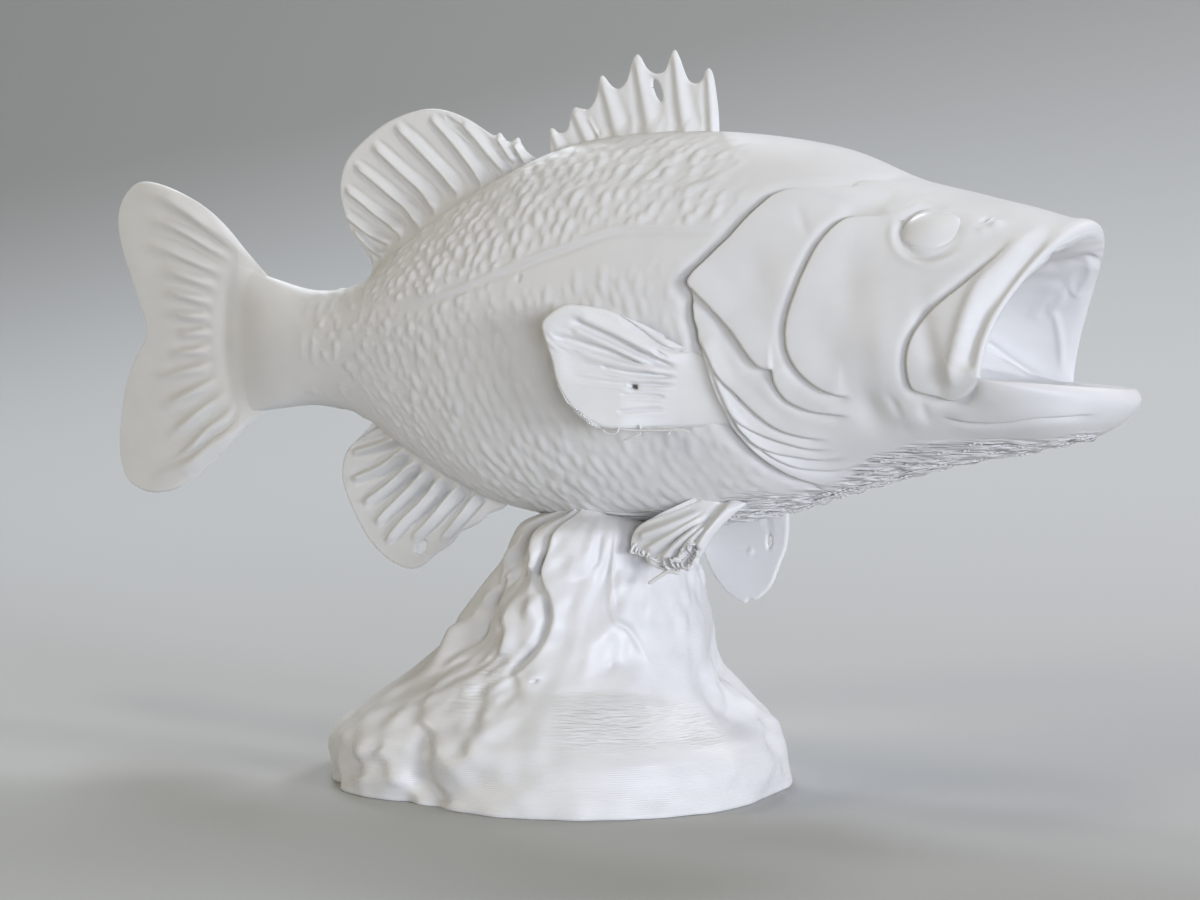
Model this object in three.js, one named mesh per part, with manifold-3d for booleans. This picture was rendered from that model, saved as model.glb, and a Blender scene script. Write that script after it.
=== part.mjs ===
// Printed plastic figure of a largemouth bass on a rock pedestal.
// Millimetres, +Z up. The origin is the middle of the pedestal's underside, the head points along +X,
// and the fish's right flank faces -Y. The tail sweeps away towards +Y.
//
// The fish is shaped straight first, in its own coordinates: s runs along the body towards the snout,
// w runs out of the right flank, and h is the height above the floor. One skin of rings gives the head,
// trunk and tail stalk. It is parted by thin cuts, and then every piece is rolled and bent together.
import * as THREE from 'three';
import { mergeVertices } from 'three/addons/utils/BufferGeometryUtils.js';
import Module from 'manifold-3d';

const wasm = await Module();
wasm.setup();

// ---------------------------------------------------------------- driving dimensions
const gap = 0.3;                    // between two cut neighbours
const ringPoints = 28;              // corners of one ring of the skin, one ring for each station
const tailCap = 0.4;                // how far the skin's closing poles lie beyond its end rings
const gulletCap = 0.3;

const bendStart = -4;               // the body is straight ahead of this s
const bendRadius = 170;             // of the tail's sweep
const rollAngle = 0.065;            // the head leans over by this much, in radians
const rollFrom = 10;                // the roll grows between these two s
const rollTo = 40;
const rollHeight = 44;              // of the axis that the head rolls about

const plateRise = 0.4;              // gill covers and jaw plates stand out of the skin by this
const plateDepth = 0.9;             // and sink into it by this
const seatMargin = 1;               // a plate's seat is cut this far outside the plate
const plateFrom = 2;                // the plates keep this far from the middle plane
const reach = 40;                   // half width of a cut through the whole fish
const eyeRadius = 2.6;
const eyeColumns = 18;
const eyeRows = 10;
const eyeCentre = { s: 42.7, w: 6.5, h: 54.1 };

const finRoot = 1.3;                // thickness of a fin at its root
const finEdge = 0.7;                // and at its outer edge
const webShare = 0.72;              // a web's thickness over its ray's

const baseRadius = 22.8;            // of the pedestal's foot
const pedestalTop = 31;             // before the fish's belly is cut out of it

const white = { color: 0xe4e4e6, roughness: 0.42, metalness: 0.0 };
const shade = { color: 0xd2d2d4, roughness: 0.48, metalness: 0.0 };

// Stations of the skin, from the tail root to the lips, then back through the open mouth to the gullet.
// top and bottom are (s, h), side is (s, w, h). upper and lower are the superellipse exponents.
const stations = [
  { top: [-40.5, 50.6], side: [-40.5, 1.0, 43.0], bottom: [-40.5, 35.2], upper: 2.0, lower: 2.0 },
  { top: [-36, 49.4], side: [-36, 2.3, 42.6], bottom: [-36, 35.8], upper: 2.0, lower: 2.0 },
  { top: [-30, 48.4], side: [-30, 3.3, 42.4], bottom: [-30, 36.4], upper: 2.0, lower: 2.0 },
  { top: [-24, 49.4], side: [-24, 4.5, 42.6], bottom: [-24, 35.6], upper: 2.0, lower: 2.0 },
  { top: [-16, 54.9], side: [-16, 6.6, 43.4], bottom: [-16, 31.4], upper: 2.0, lower: 2.05 },
  { top: [-8, 59.4], side: [-8, 8.6, 44.2], bottom: [-8, 27.9], upper: 2.0, lower: 2.1 },
  { top: [0, 62.9], side: [0, 10.1, 45.0], bottom: [0, 26.4], upper: 2.0, lower: 2.15 },
  { top: [8, 64.4], side: [8, 11.0, 45.4], bottom: [8, 25.9], upper: 2.0, lower: 2.2 },
  { top: [16, 64.6], side: [16, 11.4, 45.6], bottom: [16, 26.3], upper: 2.0, lower: 2.2 },
  { top: [24, 64.0], side: [24, 11.6, 45.6], bottom: [24, 27.6], upper: 2.0, lower: 2.1 },
  { top: [31, 62.7], side: [31, 11.7, 45.4], bottom: [31, 29.8], upper: 2.05, lower: 2.0 },
  { top: [38, 60.0], side: [37, 11.7, 44.8], bottom: [37.5, 31.8], upper: 2.1, lower: 2.0 },
  { top: [44, 58.6], side: [42, 11.8, 43.6], bottom: [43.5, 33.4], upper: 2.15, lower: 2.0 },
  { top: [49.6, 57.3], side: [45.4, 12.2, 42.4], bottom: [49.5, 34.7], upper: 2.15, lower: 2.0 },
  { top: [53.1, 56.4], side: [47.6, 12.5, 41.7], bottom: [55, 36.0], upper: 2.1, lower: 2.0 },
  { top: [54.8, 55.7], side: [48.6, 12.6, 41.5], bottom: [58.2, 37.8], upper: 2.0, lower: 2.0 },
  { top: [55.6, 54.9], side: [49.2, 12.5, 41.4], bottom: [59.5, 39.6], upper: 2.0, lower: 2.0 },
  { top: [55.7, 54.1], side: [49.3, 12.1, 41.3], bottom: [58.8, 40.8], upper: 2.0, lower: 2.0 },
  { top: [55.2, 53.4], side: [49.0, 11.4, 41.2], bottom: [57.4, 40.3], upper: 2.0, lower: 2.0 },
  { top: [52.5, 52.6], side: [46.5, 10.4, 41.8], bottom: [54.0, 38.8], upper: 2.1, lower: 2.2 },
  { top: [46.5, 51.2], side: [42.5, 8.6, 43.6], bottom: [47.0, 38.8], upper: 2.2, lower: 2.2 },
  { top: [40.5, 49.2], side: [38.5, 5.6, 44.8], bottom: [41.0, 40.6], upper: 2.0, lower: 2.0 },
  { top: [37.0, 46.6], side: [36.5, 1.5, 45.2], bottom: [37.0, 43.8], upper: 2.0, lower: 2.0 },
];
const rimStation = 17;              // the lips' edge, where the outer skin ends and the mouth begins
const browCurve = 1.75;             // how an upper half ring leans forward towards its top

// Side outlines, as (s, h) points.
const headOutline = [
  [80, 90], [31, 90], [29.5, 59.2], [26.6, 58.4], [19.3, 50.4], [19.9, 47.6], [21, 44], [22.3, 39.7],
  [25.5, 34.2], [30.3, 30.8], [32, 20], [32, 0], [80, 0],
];
const jawOutline = [
  [80, 49], [54, 46], [49.3, 41.5], [47.4, 39.6], [45.2, 39.2], [42.1, 40], [40, 37.6], [37, 35.2],
  [35, 31.5], [35, 0], [80, 0],
];
const stalkOutline = [[-23, 90], [-23, 0], [-90, 0], [-90, 90]];
const gillCoverOutline = [
  [34.5, 58.7], [28.9, 58.5], [26.8, 57.7], [20.2, 50.3], [20.5, 49.3], [27.5, 42], [28.7, 41.6],
  [29.2, 39.9], [31.4, 38.4], [35, 38], [34.6, 39.6], [32.3, 40.5], [30.8, 42.3], [30.1, 44.8],
  [30.1, 47.3], [30.9, 50.7], [32.4, 53.6], [34.3, 55.7],
];
const jawPlateOutline = [
  [50.8, 53.8], [47.3, 50.6], [44.4, 48], [42.7, 45.4], [42.1, 42.8], [42.5, 40.6], [45, 39.9],
  [46.9, 40.2], [47.9, 41.6], [48.1, 44.4], [49.2, 47.6], [50.8, 50.2], [52.4, 52.2],
];

// ---------------------------------------------------------------- meshes and solids
const vector = ([x, y, z]) => new THREE.Vector3(x, y, z);

// A BufferGeometry from triples of corners, turned so that it encloses a positive volume.
function closedGeometry(points, faces) {
  const corners = faces.flat().flatMap((i) => points[i].toArray());
  const volume = faces.reduce(
    (sum, [a, b, c]) => sum + points[a].dot(points[b].clone().cross(points[c])), 0);
  const geometry = new THREE.BufferGeometry();
  geometry.setAttribute('position', new THREE.Float32BufferAttribute(corners, 3));
  if (volume < 0) flip(geometry);
  return geometry;
}

function flip(geometry) {
  const p = geometry.attributes.position;
  for (let i = 0; i < p.count; i += 3) {
    const b = new THREE.Vector3().fromBufferAttribute(p, i + 1);
    const c = new THREE.Vector3().fromBufferAttribute(p, i + 2);
    p.setXYZ(i + 1, c.x, c.y, c.z);
    p.setXYZ(i + 2, b.x, b.y, b.z);
  }
}

function toSolid(geometry) {
  const bare = geometry.clone();
  bare.deleteAttribute('normal');
  bare.deleteAttribute('uv');
  const merged = mergeVertices(bare, 1e-4);
  return new wasm.Manifold(new wasm.Mesh({
    numProp: 3,
    vertProperties: new Float32Array(merged.attributes.position.array),
    triVerts: new Uint32Array(merged.index.array),
  }));
}

function toGeometry(solid) {
  const mesh = solid.getMesh();
  const geometry = new THREE.BufferGeometry();
  geometry.setAttribute('position', new THREE.Float32BufferAttribute(mesh.vertProperties, 3));
  geometry.setIndex([...mesh.triVerts]);
  return geometry;
}

// Rings of equal length, joined ring to ring, with a pole at each end.
function ringSolid(rings, firstPole, lastPole) {
  const n = rings[0].length;
  const points = [...rings.flat(), firstPole, lastPole];
  const first = points.length - 2;
  const last = points.length - 1;
  const lastRing = (rings.length - 1) * n;
  const faces = [];
  for (let j = 0; j < n; j += 1) {
    const k = (j + 1) % n;
    faces.push([first, k, j], [last, lastRing + j, lastRing + k]);
    for (let i = 0; i < rings.length - 1; i += 1) {
      const a = i * n;
      const b = a + n;
      faces.push([a + j, a + k, b + k], [a + j, b + k, b + j]);
    }
  }
  return closedGeometry(points, faces);
}

// A slab over a grid: point(u, v) is its middle, thickness(u, v) its thickness along the normal.
function slab(columns, rows, point, thickness, normal) {
  const points = [];
  for (const side of [-0.5, 0.5]) {
    for (let i = 0; i <= columns; i += 1) {
      for (let j = 0; j <= rows; j += 1) {
        const [u, v] = [i / columns, j / rows];
        points.push(point(u, v).addScaledVector(normal, side * thickness(u, v)));
      }
    }
  }
  const half = (columns + 1) * (rows + 1);
  const at = (i, j) => i * (rows + 1) + j;
  const faces = [];
  const quad = (a, b, c, d) => faces.push([a, b, c], [a, c, d]);
  for (let i = 0; i < columns; i += 1) {
    for (let j = 0; j < rows; j += 1) {
      quad(at(i, j), at(i + 1, j), at(i + 1, j + 1), at(i, j + 1));
      quad(half + at(i, j), half + at(i, j + 1), half + at(i + 1, j + 1), half + at(i + 1, j));
    }
    quad(at(i, 0), half + at(i, 0), half + at(i + 1, 0), at(i + 1, 0));
    quad(at(i, rows), at(i + 1, rows), half + at(i + 1, rows), half + at(i, rows));
  }
  for (let j = 0; j < rows; j += 1) {
    quad(at(0, j), at(0, j + 1), half + at(0, j + 1), half + at(0, j));
    quad(at(columns, j), half + at(columns, j), half + at(columns, j + 1), at(columns, j + 1));
  }
  return closedGeometry(points, faces);
}

// A side outline carried across the fish from w = from to w = to. X is s, Y is -w and Z is h.
function prism(outline, from = -reach, to = reach) {
  const shape = new THREE.Shape(outline.map(([s, h]) => new THREE.Vector2(s, h)));
  const geometry = new THREE.ExtrudeGeometry(shape, { depth: to - from, bevelEnabled: false, steps: 1 });
  geometry.rotateX(Math.PI / 2);
  geometry.translate(0, -from, 0);
  return toSolid(geometry);
}

// The outline moved outwards by d, or inwards where d is negative.
function offset(outline, d) {
  const points = outline.map(([s, h]) => new THREE.Vector2(s, h));
  const turn = Math.sign(THREE.ShapeUtils.area(points));
  return points.map((p, i) => {
    const before = p.clone().sub(points.at(i - 1)).normalize();
    const after = points[(i + 1) % points.length].clone().sub(p).normalize();
    const out = new THREE.Vector2(before.y + after.y, -before.x - after.x).normalize();
    const lean = Math.max(out.dot(new THREE.Vector2(before.y, -before.x)), 0.5);
    const moved = p.clone().addScaledVector(out, (turn * d) / lean);
    return [moved.x, moved.y];
  });
}

// ---------------------------------------------------------------- the skin
// One corner of a station's ring: superellipse quarters from the top over the side to the bottom.
// The ring leans forward, by a power of the cosine, where its top or bottom is ahead of its side.
function stationPoint({ top, side, bottom, upper, lower }, angle, grow) {
  const c = Math.cos(angle);
  const n = Math.sin(angle);
  const high = c >= 0;
  const end = high ? [top[0], top[1] + grow] : [bottom[0], bottom[1] - grow];
  const power = 2 / (high ? upper : lower);
  const rise = Math.abs(c) ** power;
  const lean = high ? Math.abs(c) ** browCurve : Math.abs(c);
  return new THREE.Vector3(
    side[0] + (end[0] - side[0]) * lean,
    -(side[1] + grow) * Math.sign(n) * Math.abs(n) ** power,
    side[2] + (end[1] - side[2]) * rise,
  );
}

// The whole skin as a solid, with the open mouth in it. grow moves the outer skin out, or in.
function skin(grow = 0) {
  const rings = stations.map((station, i) => Array.from({ length: ringPoints }, (_, j) =>
    stationPoint(station, (2 * Math.PI * j) / ringPoints, i <= rimStation - 2 ? grow : 0)));
  const [first, last] = [stations[0].side, stations.at(-1).side];
  const tail = new THREE.Vector3(first[0] - tailCap - grow, 0, first[2]);
  const gullet = new THREE.Vector3(last[0] - gulletCap, 0, last[2]);
  return toSolid(ringSolid(rings, tail, gullet));
}

const body = skin();
const clearance = skin(gap);
const shell = skin(plateRise).subtract(skin(-plateDepth));
const wideShell = skin(plateRise + seatMargin).subtract(skin(-plateDepth - gap));

// An outline carried across one flank only. side is 1 for the right flank and -1 for the left.
const flankPrism = (outline, side) =>
  (side > 0 ? prism(outline, plateFrom, reach) : prism(outline, -reach, -plateFrom));
const sides = [['right', 1], ['left', -1]];

// ---------------------------------------------------------------- the fins
const through = (points) => new THREE.SplineCurve(points.map(([s, h]) => new THREE.Vector2(s, h)));

// 1 on a ray and 0 in the middle of a web
const ridge = (u, rays) => 0.5 + 0.5 * Math.cos(2 * Math.PI * rays * u);

// A fin in the fish's middle plane, from a root curve to an outer edge curve, with a ray at each
// whole number of u * rays. Its rays bow back by bow, and it thins from root to edge.
function medianFin({ root, edge, rays, bow, rows }) {
  const rootCurve = through(root);
  const edgeCurve = through(edge);
  const point = (u, v) => {
    const a = rootCurve.getPoint(u);
    const b = edgeCurve.getPoint(u);
    const p = a.clone().lerp(b, v);
    const along = b.clone().sub(a);
    p.add(new THREE.Vector2(-along.y, along.x).multiplyScalar(bow * v * (1 - v)));
    return new THREE.Vector3(p.x, 0, p.y);
  };
  const thickness = (u, v) =>
    THREE.MathUtils.lerp(finRoot, finEdge, v) * THREE.MathUtils.lerp(webShare, 1, ridge(u, rays));
  const fin = slab(rays * 2, rows, point, thickness, new THREE.Vector3(0, 1, 0));
  return toSolid(fin).subtract(clearance);
}

const spinyDorsal = () => medianFin({
  root: [[17.1, 63], [10, 62.8], [4, 61.5], [-1.1, 60.5]],
  edge: [
    [17.1, 64.8], [16.5, 70.2], [14.4, 68.7], [12.5, 72.3], [10.1, 69.7], [8.4, 72.1], [6.3, 68.3],
    [4.5, 70], [3, 66.4], [1.4, 66.9], [0, 64.3], [-1.2, 64.8], [-1, 62.4],
  ],
  rays: 6, bow: -0.05, rows: 3,
});

const softDorsal = () => medianFin({
  root: [[-3.2, 60], [-8, 58], [-14, 54.5], [-19.5, 51], [-22.4, 49]],
  edge: [
    [-3.1, 62], [-5.8, 64.2], [-9, 65.4], [-13.6, 66.9], [-17.5, 66.9], [-22, 65.1], [-25.4, 62.6],
    [-27, 59], [-25.2, 55], [-22, 51.6],
  ],
  rays: 9, bow: 0.08, rows: 4,
});

const analFin = () => medianFin({
  root: [[-6.4, 29], [-11, 31], [-16, 34], [-21.8, 37]],
  edge: [
    [-6.6, 27], [-11, 24.4], [-15.6, 21], [-18.8, 20], [-22.2, 21.5], [-25.2, 25], [-27, 29.2],
    [-24.8, 32.8], [-21.4, 34.2],
  ],
  rays: 8, bow: -0.06, rows: 4,
});

const caudalFin = () => medianFin({
  root: [[-38.2, 50], [-39.5, 47.5], [-40, 43], [-39.5, 38.5], [-38.2, 35.4]],
  edge: [
    [-38.6, 50.8], [-44, 55], [-50, 58.2], [-57.2, 59.9], [-61.9, 57.5], [-62.2, 54], [-59, 47.4],
    [-57.3, 43.4], [-59.6, 39.8], [-62, 35], [-62.2, 28.4], [-57.2, 25.6], [-50, 27.4], [-44, 31.2],
    [-38.6, 35],
  ],
  rays: 13, bow: 0, rows: 3,
});

// A fin beside the fish: a bent leaf from its root line out to its edge curve, cupped by cup.
function pairedFin({ root, edge, rays, rows, side, normal, cup = 0 }) {
  const rootCurve = new THREE.CatmullRomCurve3(root.map(vector));
  const edgeCurve = new THREE.CatmullRomCurve3(edge.map(vector));
  const flank = (p) => new THREE.Vector3(p.x, -side * p.y, p.z);
  const out = flank(vector(normal).normalize());
  const point = (u, v) => flank(rootCurve.getPoint(u).lerp(edgeCurve.getPoint(u), v))
    .addScaledVector(out, cup * Math.sin(Math.PI * u) * v);
  const thickness = (u, v) =>
    THREE.MathUtils.lerp(finRoot, finEdge, v) * THREE.MathUtils.lerp(webShare, 1, ridge(u, rays));
  return toSolid(slab(rays * 2, rows, point, thickness, out)).subtract(clearance);
}

const pectoralFin = (side) => pairedFin({
  root: [[20.5, 11, 43.7], [20.8, 11, 40], [20.5, 11, 36.7]],
  edge: [
    [17, 12.5, 44.6], [13.4, 13.5, 47.3], [9.6, 14.6, 48.2], [6.5, 15.7, 46.4], [7, 15.5, 43],
    [8.4, 15.1, 39.4], [11.9, 14, 36.6], [15, 13, 36.4], [18, 12, 36.5],
  ],
  rays: 6, rows: 4, side, normal: [0.28, 0.96, 0], cup: -0.5,
});

const pelvicFinRight = () => pairedFin({
  root: [[18.6, 4.4, 29], [20.6, 4.6, 29.4], [22.4, 4.8, 30]],
  edge: [[12.4, 7.4, 26.9], [11.2, 7.8, 24.6], [13.6, 8, 22.4], [16.8, 7.8, 22.9], [19.6, 7.2, 24.4]],
  rays: 5, rows: 3, side: 1, normal: [0.25, 0.85, -0.35],
});

const pelvicFinLeft = () => pairedFin({
  root: [[16.2, 4.6, 28.8], [19, 4.7, 29.3], [22.4, 4.8, 30]],
  edge: [[12.8, 7.8, 22.9], [14.2, 8, 19.6], [17, 8, 17.8], [20, 7.5, 20.2], [22.4, 6.8, 24.4]],
  rays: 5, rows: 3, side: -1, normal: [0.05, 0.95, -0.25],
});

// ---------------------------------------------------------------- the rock
// Half widths of the rock by height, and how far its middle line leans towards the head.
const rockRadius = through([
  [0, baseRadius], [5, 21.8], [7, 20], [9.2, 17.8], [11.2, 15.4], [14, 13.3], [17, 12.3], [19.5, 11.3],
  [22, 10], [25, 9.4], [pedestalTop, 9.2],
]);
const rockLean = through([[0, 0], [9, 0.1], [14, 2], [19.5, 3.3], [25, 5.1], [pedestalTop, 5.9]]);
const rockRings = 13;
const rockColumns = 32;
// Each lump: its bearing in degrees, its height, how wide and how tall it is, and how far it stands out.
const lumps = [
  { bearing: -100, z: 0, wide: 18, tall: 9, rise: -2.2 },    // groove at the left of the front slab
  { bearing: -36, z: 0, wide: 32, tall: 9, rise: 1.6 },      // toe of the front slab
  { bearing: -128, z: 8, wide: 18, tall: 5, rise: 0.8 },
  { bearing: -118, z: 18, wide: 16, tall: 6, rise: -0.9 },
  { bearing: -92, z: 20, wide: 14, tall: 8, rise: 0.7 },
  { bearing: -145, z: 17, wide: 14, tall: 4, rise: 0.7 },
  { bearing: 180, z: 23, wide: 30, tall: 5, rise: -0.7 },
  { bearing: 0, z: 9, wide: 30, tall: 3, rise: -0.9 },
  { bearing: 55, z: 12, wide: 18, tall: 7, rise: 0.9 },
  { bearing: 80, z: 4, wide: 14, tall: 6, rise: -1.0 },
  { bearing: 110, z: 14, wide: 16, tall: 8, rise: 1.0 },
  { bearing: 140, z: 6, wide: 18, tall: 6, rise: 0.9 },
  { bearing: 150, z: 20, wide: 16, tall: 6, rise: -0.7 },
];

// The sum of the lumps, each a bell curve round the rock and up it.
function lumpRise(bearing, z) {
  return lumps.reduce((sum, lump) => {
    const turn = THREE.MathUtils.euclideanModulo(bearing - lump.bearing + 180, 360) - 180;
    return sum + lump.rise * Math.exp(-((turn / lump.wide) ** 2) - ((z - lump.z) / lump.tall) ** 2);
  }, 0);
}

function rock() {
  const rings = [];
  for (let i = 0; i <= rockRings; i += 1) {
    const [z, radius] = rockRadius.getPoint(i / rockRings).toArray();
    const share = z / pedestalTop;
    const lean = rockLean.getPoint(share).y;
    rings.push(Array.from({ length: rockColumns }, (_, j) => {
      const a = (2 * Math.PI * j) / rockColumns;
      const r = radius + lumpRise(THREE.MathUtils.radToDeg(a), z);
      return new THREE.Vector3(lean + r * Math.cos(a), r * Math.sin(a), z);
    }));
  }
  const top = new THREE.Vector3(rockLean.getPoint(1).y, 0, pedestalTop);
  return toSolid(ringSolid(rings, new THREE.Vector3(0, 0, 0), top));
}

// ---------------------------------------------------------------- parting
const head = body.intersect(prism(offset(headOutline, -gap / 2)));
const trunkAndStalk = body.subtract(prism(offset(headOutline, gap / 2)));
const stalk = trunkAndStalk.intersect(prism(offset(stalkOutline, -gap / 2)));
const trunk = trunkAndStalk.subtract(prism(offset(stalkOutline, gap / 2)));

const pieces = [];
const add = (name, solid, finish = white) => pieces.push({ name, solid, finish });

let jaw = head.intersect(prism(offset(jawOutline, -gap / 2)));
let cranium = head.subtract(prism(offset(jawOutline, gap / 2)));
for (const [name, side] of sides) {
  for (const [plate, outline] of [['gill_cover', gillCoverOutline], ['jaw_plate', jawPlateOutline]]) {
    add(`${plate}_${name}`, shell.intersect(flankPrism(outline, side)));
    const seat = wideShell.intersect(flankPrism(offset(outline, gap), side));
    cranium = cranium.subtract(seat);
    jaw = jaw.subtract(seat);
  }
  const socket = new THREE.SphereGeometry(eyeRadius + gap, eyeColumns, eyeRows);
  socket.translate(eyeCentre.s, -side * eyeCentre.w, eyeCentre.h);
  cranium = cranium.subtract(toSolid(socket));
}
add('head', cranium);
add('lower_jaw', jaw);
add('trunk', trunk);
add('tail_stalk', stalk, shade);
add('spiny_dorsal_fin', spinyDorsal());
add('soft_dorsal_fin', softDorsal());
add('anal_fin', analFin());
add('caudal_fin', caudalFin(), shade);
add('pectoral_fin_right', pectoralFin(1));
add('pectoral_fin_left', pectoralFin(-1));
add('pelvic_fin_right', pelvicFinRight());
add('pelvic_fin_left', pelvicFinLeft());

// ---------------------------------------------------------------- the pose
// A point of the straight fish, rolled about the body's line and then bent along the tail's arc.
function settle(p) {
  const share = THREE.MathUtils.smoothstep(p.x, rollFrom, rollTo);
  const roll = rollAngle * share;
  const [w, h] = [-p.y, p.z - rollHeight];
  const rolledW = w * Math.cos(roll) - h * Math.sin(roll);
  const rolledH = rollHeight + h * Math.cos(roll) + w * Math.sin(roll);
  const turn = Math.max(0, (bendStart - p.x) / bendRadius);
  const x = p.x < bendStart ? bendStart - bendRadius * Math.sin(turn) : p.x;
  const y = bendRadius * (1 - Math.cos(turn));
  return p.set(x - rolledW * Math.sin(turn), y - rolledW * Math.cos(turn), rolledH);
}

function settled(geometry) {
  const p = geometry.attributes.position;
  const point = new THREE.Vector3();
  for (let i = 0; i < p.count; i += 1) {
    settle(point.fromBufferAttribute(p, i));
    p.setXYZ(i, point.x, point.y, point.z);
  }
  return geometry;
}

const group = new THREE.Group();
const fish = new THREE.Group();
group.add(fish);

function place(parent, name, geometry, finish) {
  const mesh = new THREE.Mesh(geometry, new THREE.MeshStandardMaterial(finish));
  mesh.name = name;
  parent.add(mesh);
  return mesh;
}

place(group, 'rock_pedestal', toGeometry(rock().subtract(clearance)), white);
for (const { name, solid, finish } of pieces) place(fish, name, settled(toGeometry(solid)), finish);
for (const [name, side] of sides) {
  const eye = place(fish, `eye_${name}`, new THREE.SphereGeometry(eyeRadius, eyeColumns, eyeRows), white);
  settle(eye.position.set(eyeCentre.s, -side * eyeCentre.w, eyeCentre.h));
}

export default group;
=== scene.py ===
import bmesh
import bpy
import numpy as np
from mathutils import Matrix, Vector


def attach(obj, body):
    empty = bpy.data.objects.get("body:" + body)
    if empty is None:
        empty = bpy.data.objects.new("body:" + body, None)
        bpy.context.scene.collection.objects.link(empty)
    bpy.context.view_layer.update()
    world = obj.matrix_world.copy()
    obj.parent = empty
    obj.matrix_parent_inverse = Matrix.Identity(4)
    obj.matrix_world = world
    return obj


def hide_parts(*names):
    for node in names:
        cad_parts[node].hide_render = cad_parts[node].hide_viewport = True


# White printed plastic figure of a largemouth bass on a rock pedestal.
# The fish is shaped straight first: s runs along the body towards the snout, w runs out of the right
# flank and h is the height above the floor, all in millimetres. Every piece is then rolled and bent
# together by settle(), and written into its mesh in metres.

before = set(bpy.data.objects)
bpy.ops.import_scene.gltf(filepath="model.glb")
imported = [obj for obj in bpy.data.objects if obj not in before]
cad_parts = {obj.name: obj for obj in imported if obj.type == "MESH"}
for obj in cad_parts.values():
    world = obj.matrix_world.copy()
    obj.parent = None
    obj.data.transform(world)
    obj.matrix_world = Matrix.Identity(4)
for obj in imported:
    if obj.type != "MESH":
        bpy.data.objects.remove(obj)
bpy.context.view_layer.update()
millimetre = 0.001
print("frame loaded")


def blendStep(low, high, x):
    # 0 below low, 1 above high, and 3t^2 - 2t^3 between them
    t = np.clip((x - low) / (high - low), 0, 1)
    return t * t * (3 - 2 * t)


def bell(x, width):
    # exp(-(x / width)^2)
    return np.exp(-(x / width) ** 2)


def lerp(a, b, t):
    # a where t is 0, b where t is 1, and a straight line between
    return a + (b - a) * t


def hermite(a, b, slopeA, slopeB, f):
    # the cubic from a to b that has those slopes at its ends
    return (a * (2 * f**3 - 3 * f**2 + 1) + slopeA * (f**3 - 2 * f**2 + f)
            + b * (3 * f**2 - 2 * f**3) + slopeB * (f**3 - f**2))


def spot(x, y, wide, tall):
    # a bell over an upright ellipse: exp(-(x / wide)^2 - (y / tall)^2)
    return np.exp(-(x / wide) ** 2 - (y / tall) ** 2)


def fadeEnds(along, first, last):
    # rises from 0 over the first share of a curve's length and falls to 0 over the last share
    return blendStep(0, first, along) * blendStep(0, last, 1 - along)


def curveThrough(points, u, slope=0.5):
    # a cubic between each two points, whose end slopes are slope times the step over both neighbours.
    # u runs from 0 to 1 over the whole list
    p = np.asarray(points, float)
    p = np.concatenate([2 * p[:1] - p[1:2], p, 2 * p[-1:] - p[-2:-1]])
    x = np.clip(u, 0, 1) * (len(points) - 1)
    i = np.minimum(x.astype(int), len(points) - 2)
    f = (x - i)[..., None]
    a, b = p[i + 1], p[i + 2]
    slopeA, slopeB = slope * (b - p[i]), slope * (p[i + 3] - a)
    return hermite(a, b, slopeA, slopeB, f)


def nearCurve(points, s, h, samples=80):
    # the distance to a curve, positive on the left of its direction, and how far along it, from 0 to 1
    line = curveThrough(points, np.linspace(0, 1, samples))
    best = np.full(s.shape, 1e9)
    side = np.ones(s.shape)
    along = np.zeros(s.shape)
    for i in range(samples - 1):
        (s0, h0), (s1, h1) = line[i], line[i + 1]
        ds, dh = s1 - s0, h1 - h0
        f = np.clip(((s - s0) * ds + (h - h0) * dh) / (ds * ds + dh * dh + 1e-12), 0, 1)
        gapS, gapH = s - s0 - f * ds, h - h0 - f * dh
        gap = gapS * gapS + gapH * gapH
        nearer = gap < best
        best = np.where(nearer, gap, best)
        side = np.where(nearer, np.sign(ds * gapH - dh * gapS), side)
        along = np.where(nearer, (i + f) / (samples - 1), along)
    return side * np.sqrt(best), along


def cornerValue(cells, seed):
    # one number from 0 to 1 for each whole lattice corner, by mixing the bits of its place
    c = cells.astype(np.int64)
    n = c[..., 0] * 73856093 ^ c[..., 1] * 19349663 ^ c[..., 2] * 83492791 ^ seed * 2654435761
    n = (n ^ (n >> 13)) * 1274126177 & 0xffffffff
    return ((n ^ (n >> 16)) & 0xffff) / 65535


def smoothNoise(points, size, seed):
    # lattice values joined by 3t^2 - 2t^3 along each axis, from -1 to 1
    p = points / np.asarray(size, float)
    cell = np.floor(p)
    f = p - cell
    f = f * f * (3 - 2 * f)
    total = np.zeros(p.shape[:-1])
    for corner in np.ndindex(2, 2, 2):
        weight = np.prod(np.where(np.array(corner) == 1, f, 1 - f), axis=-1)
        total += weight * cornerValue(cell + corner, seed)
    return 2 * total - 1


def noiseSum(points, rows):
    # the sum of rise x noise over rows of (size in mm, seed, rise)
    return sum(rise * smoothNoise(points, size, seed) for size, seed, rise in rows)


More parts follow.
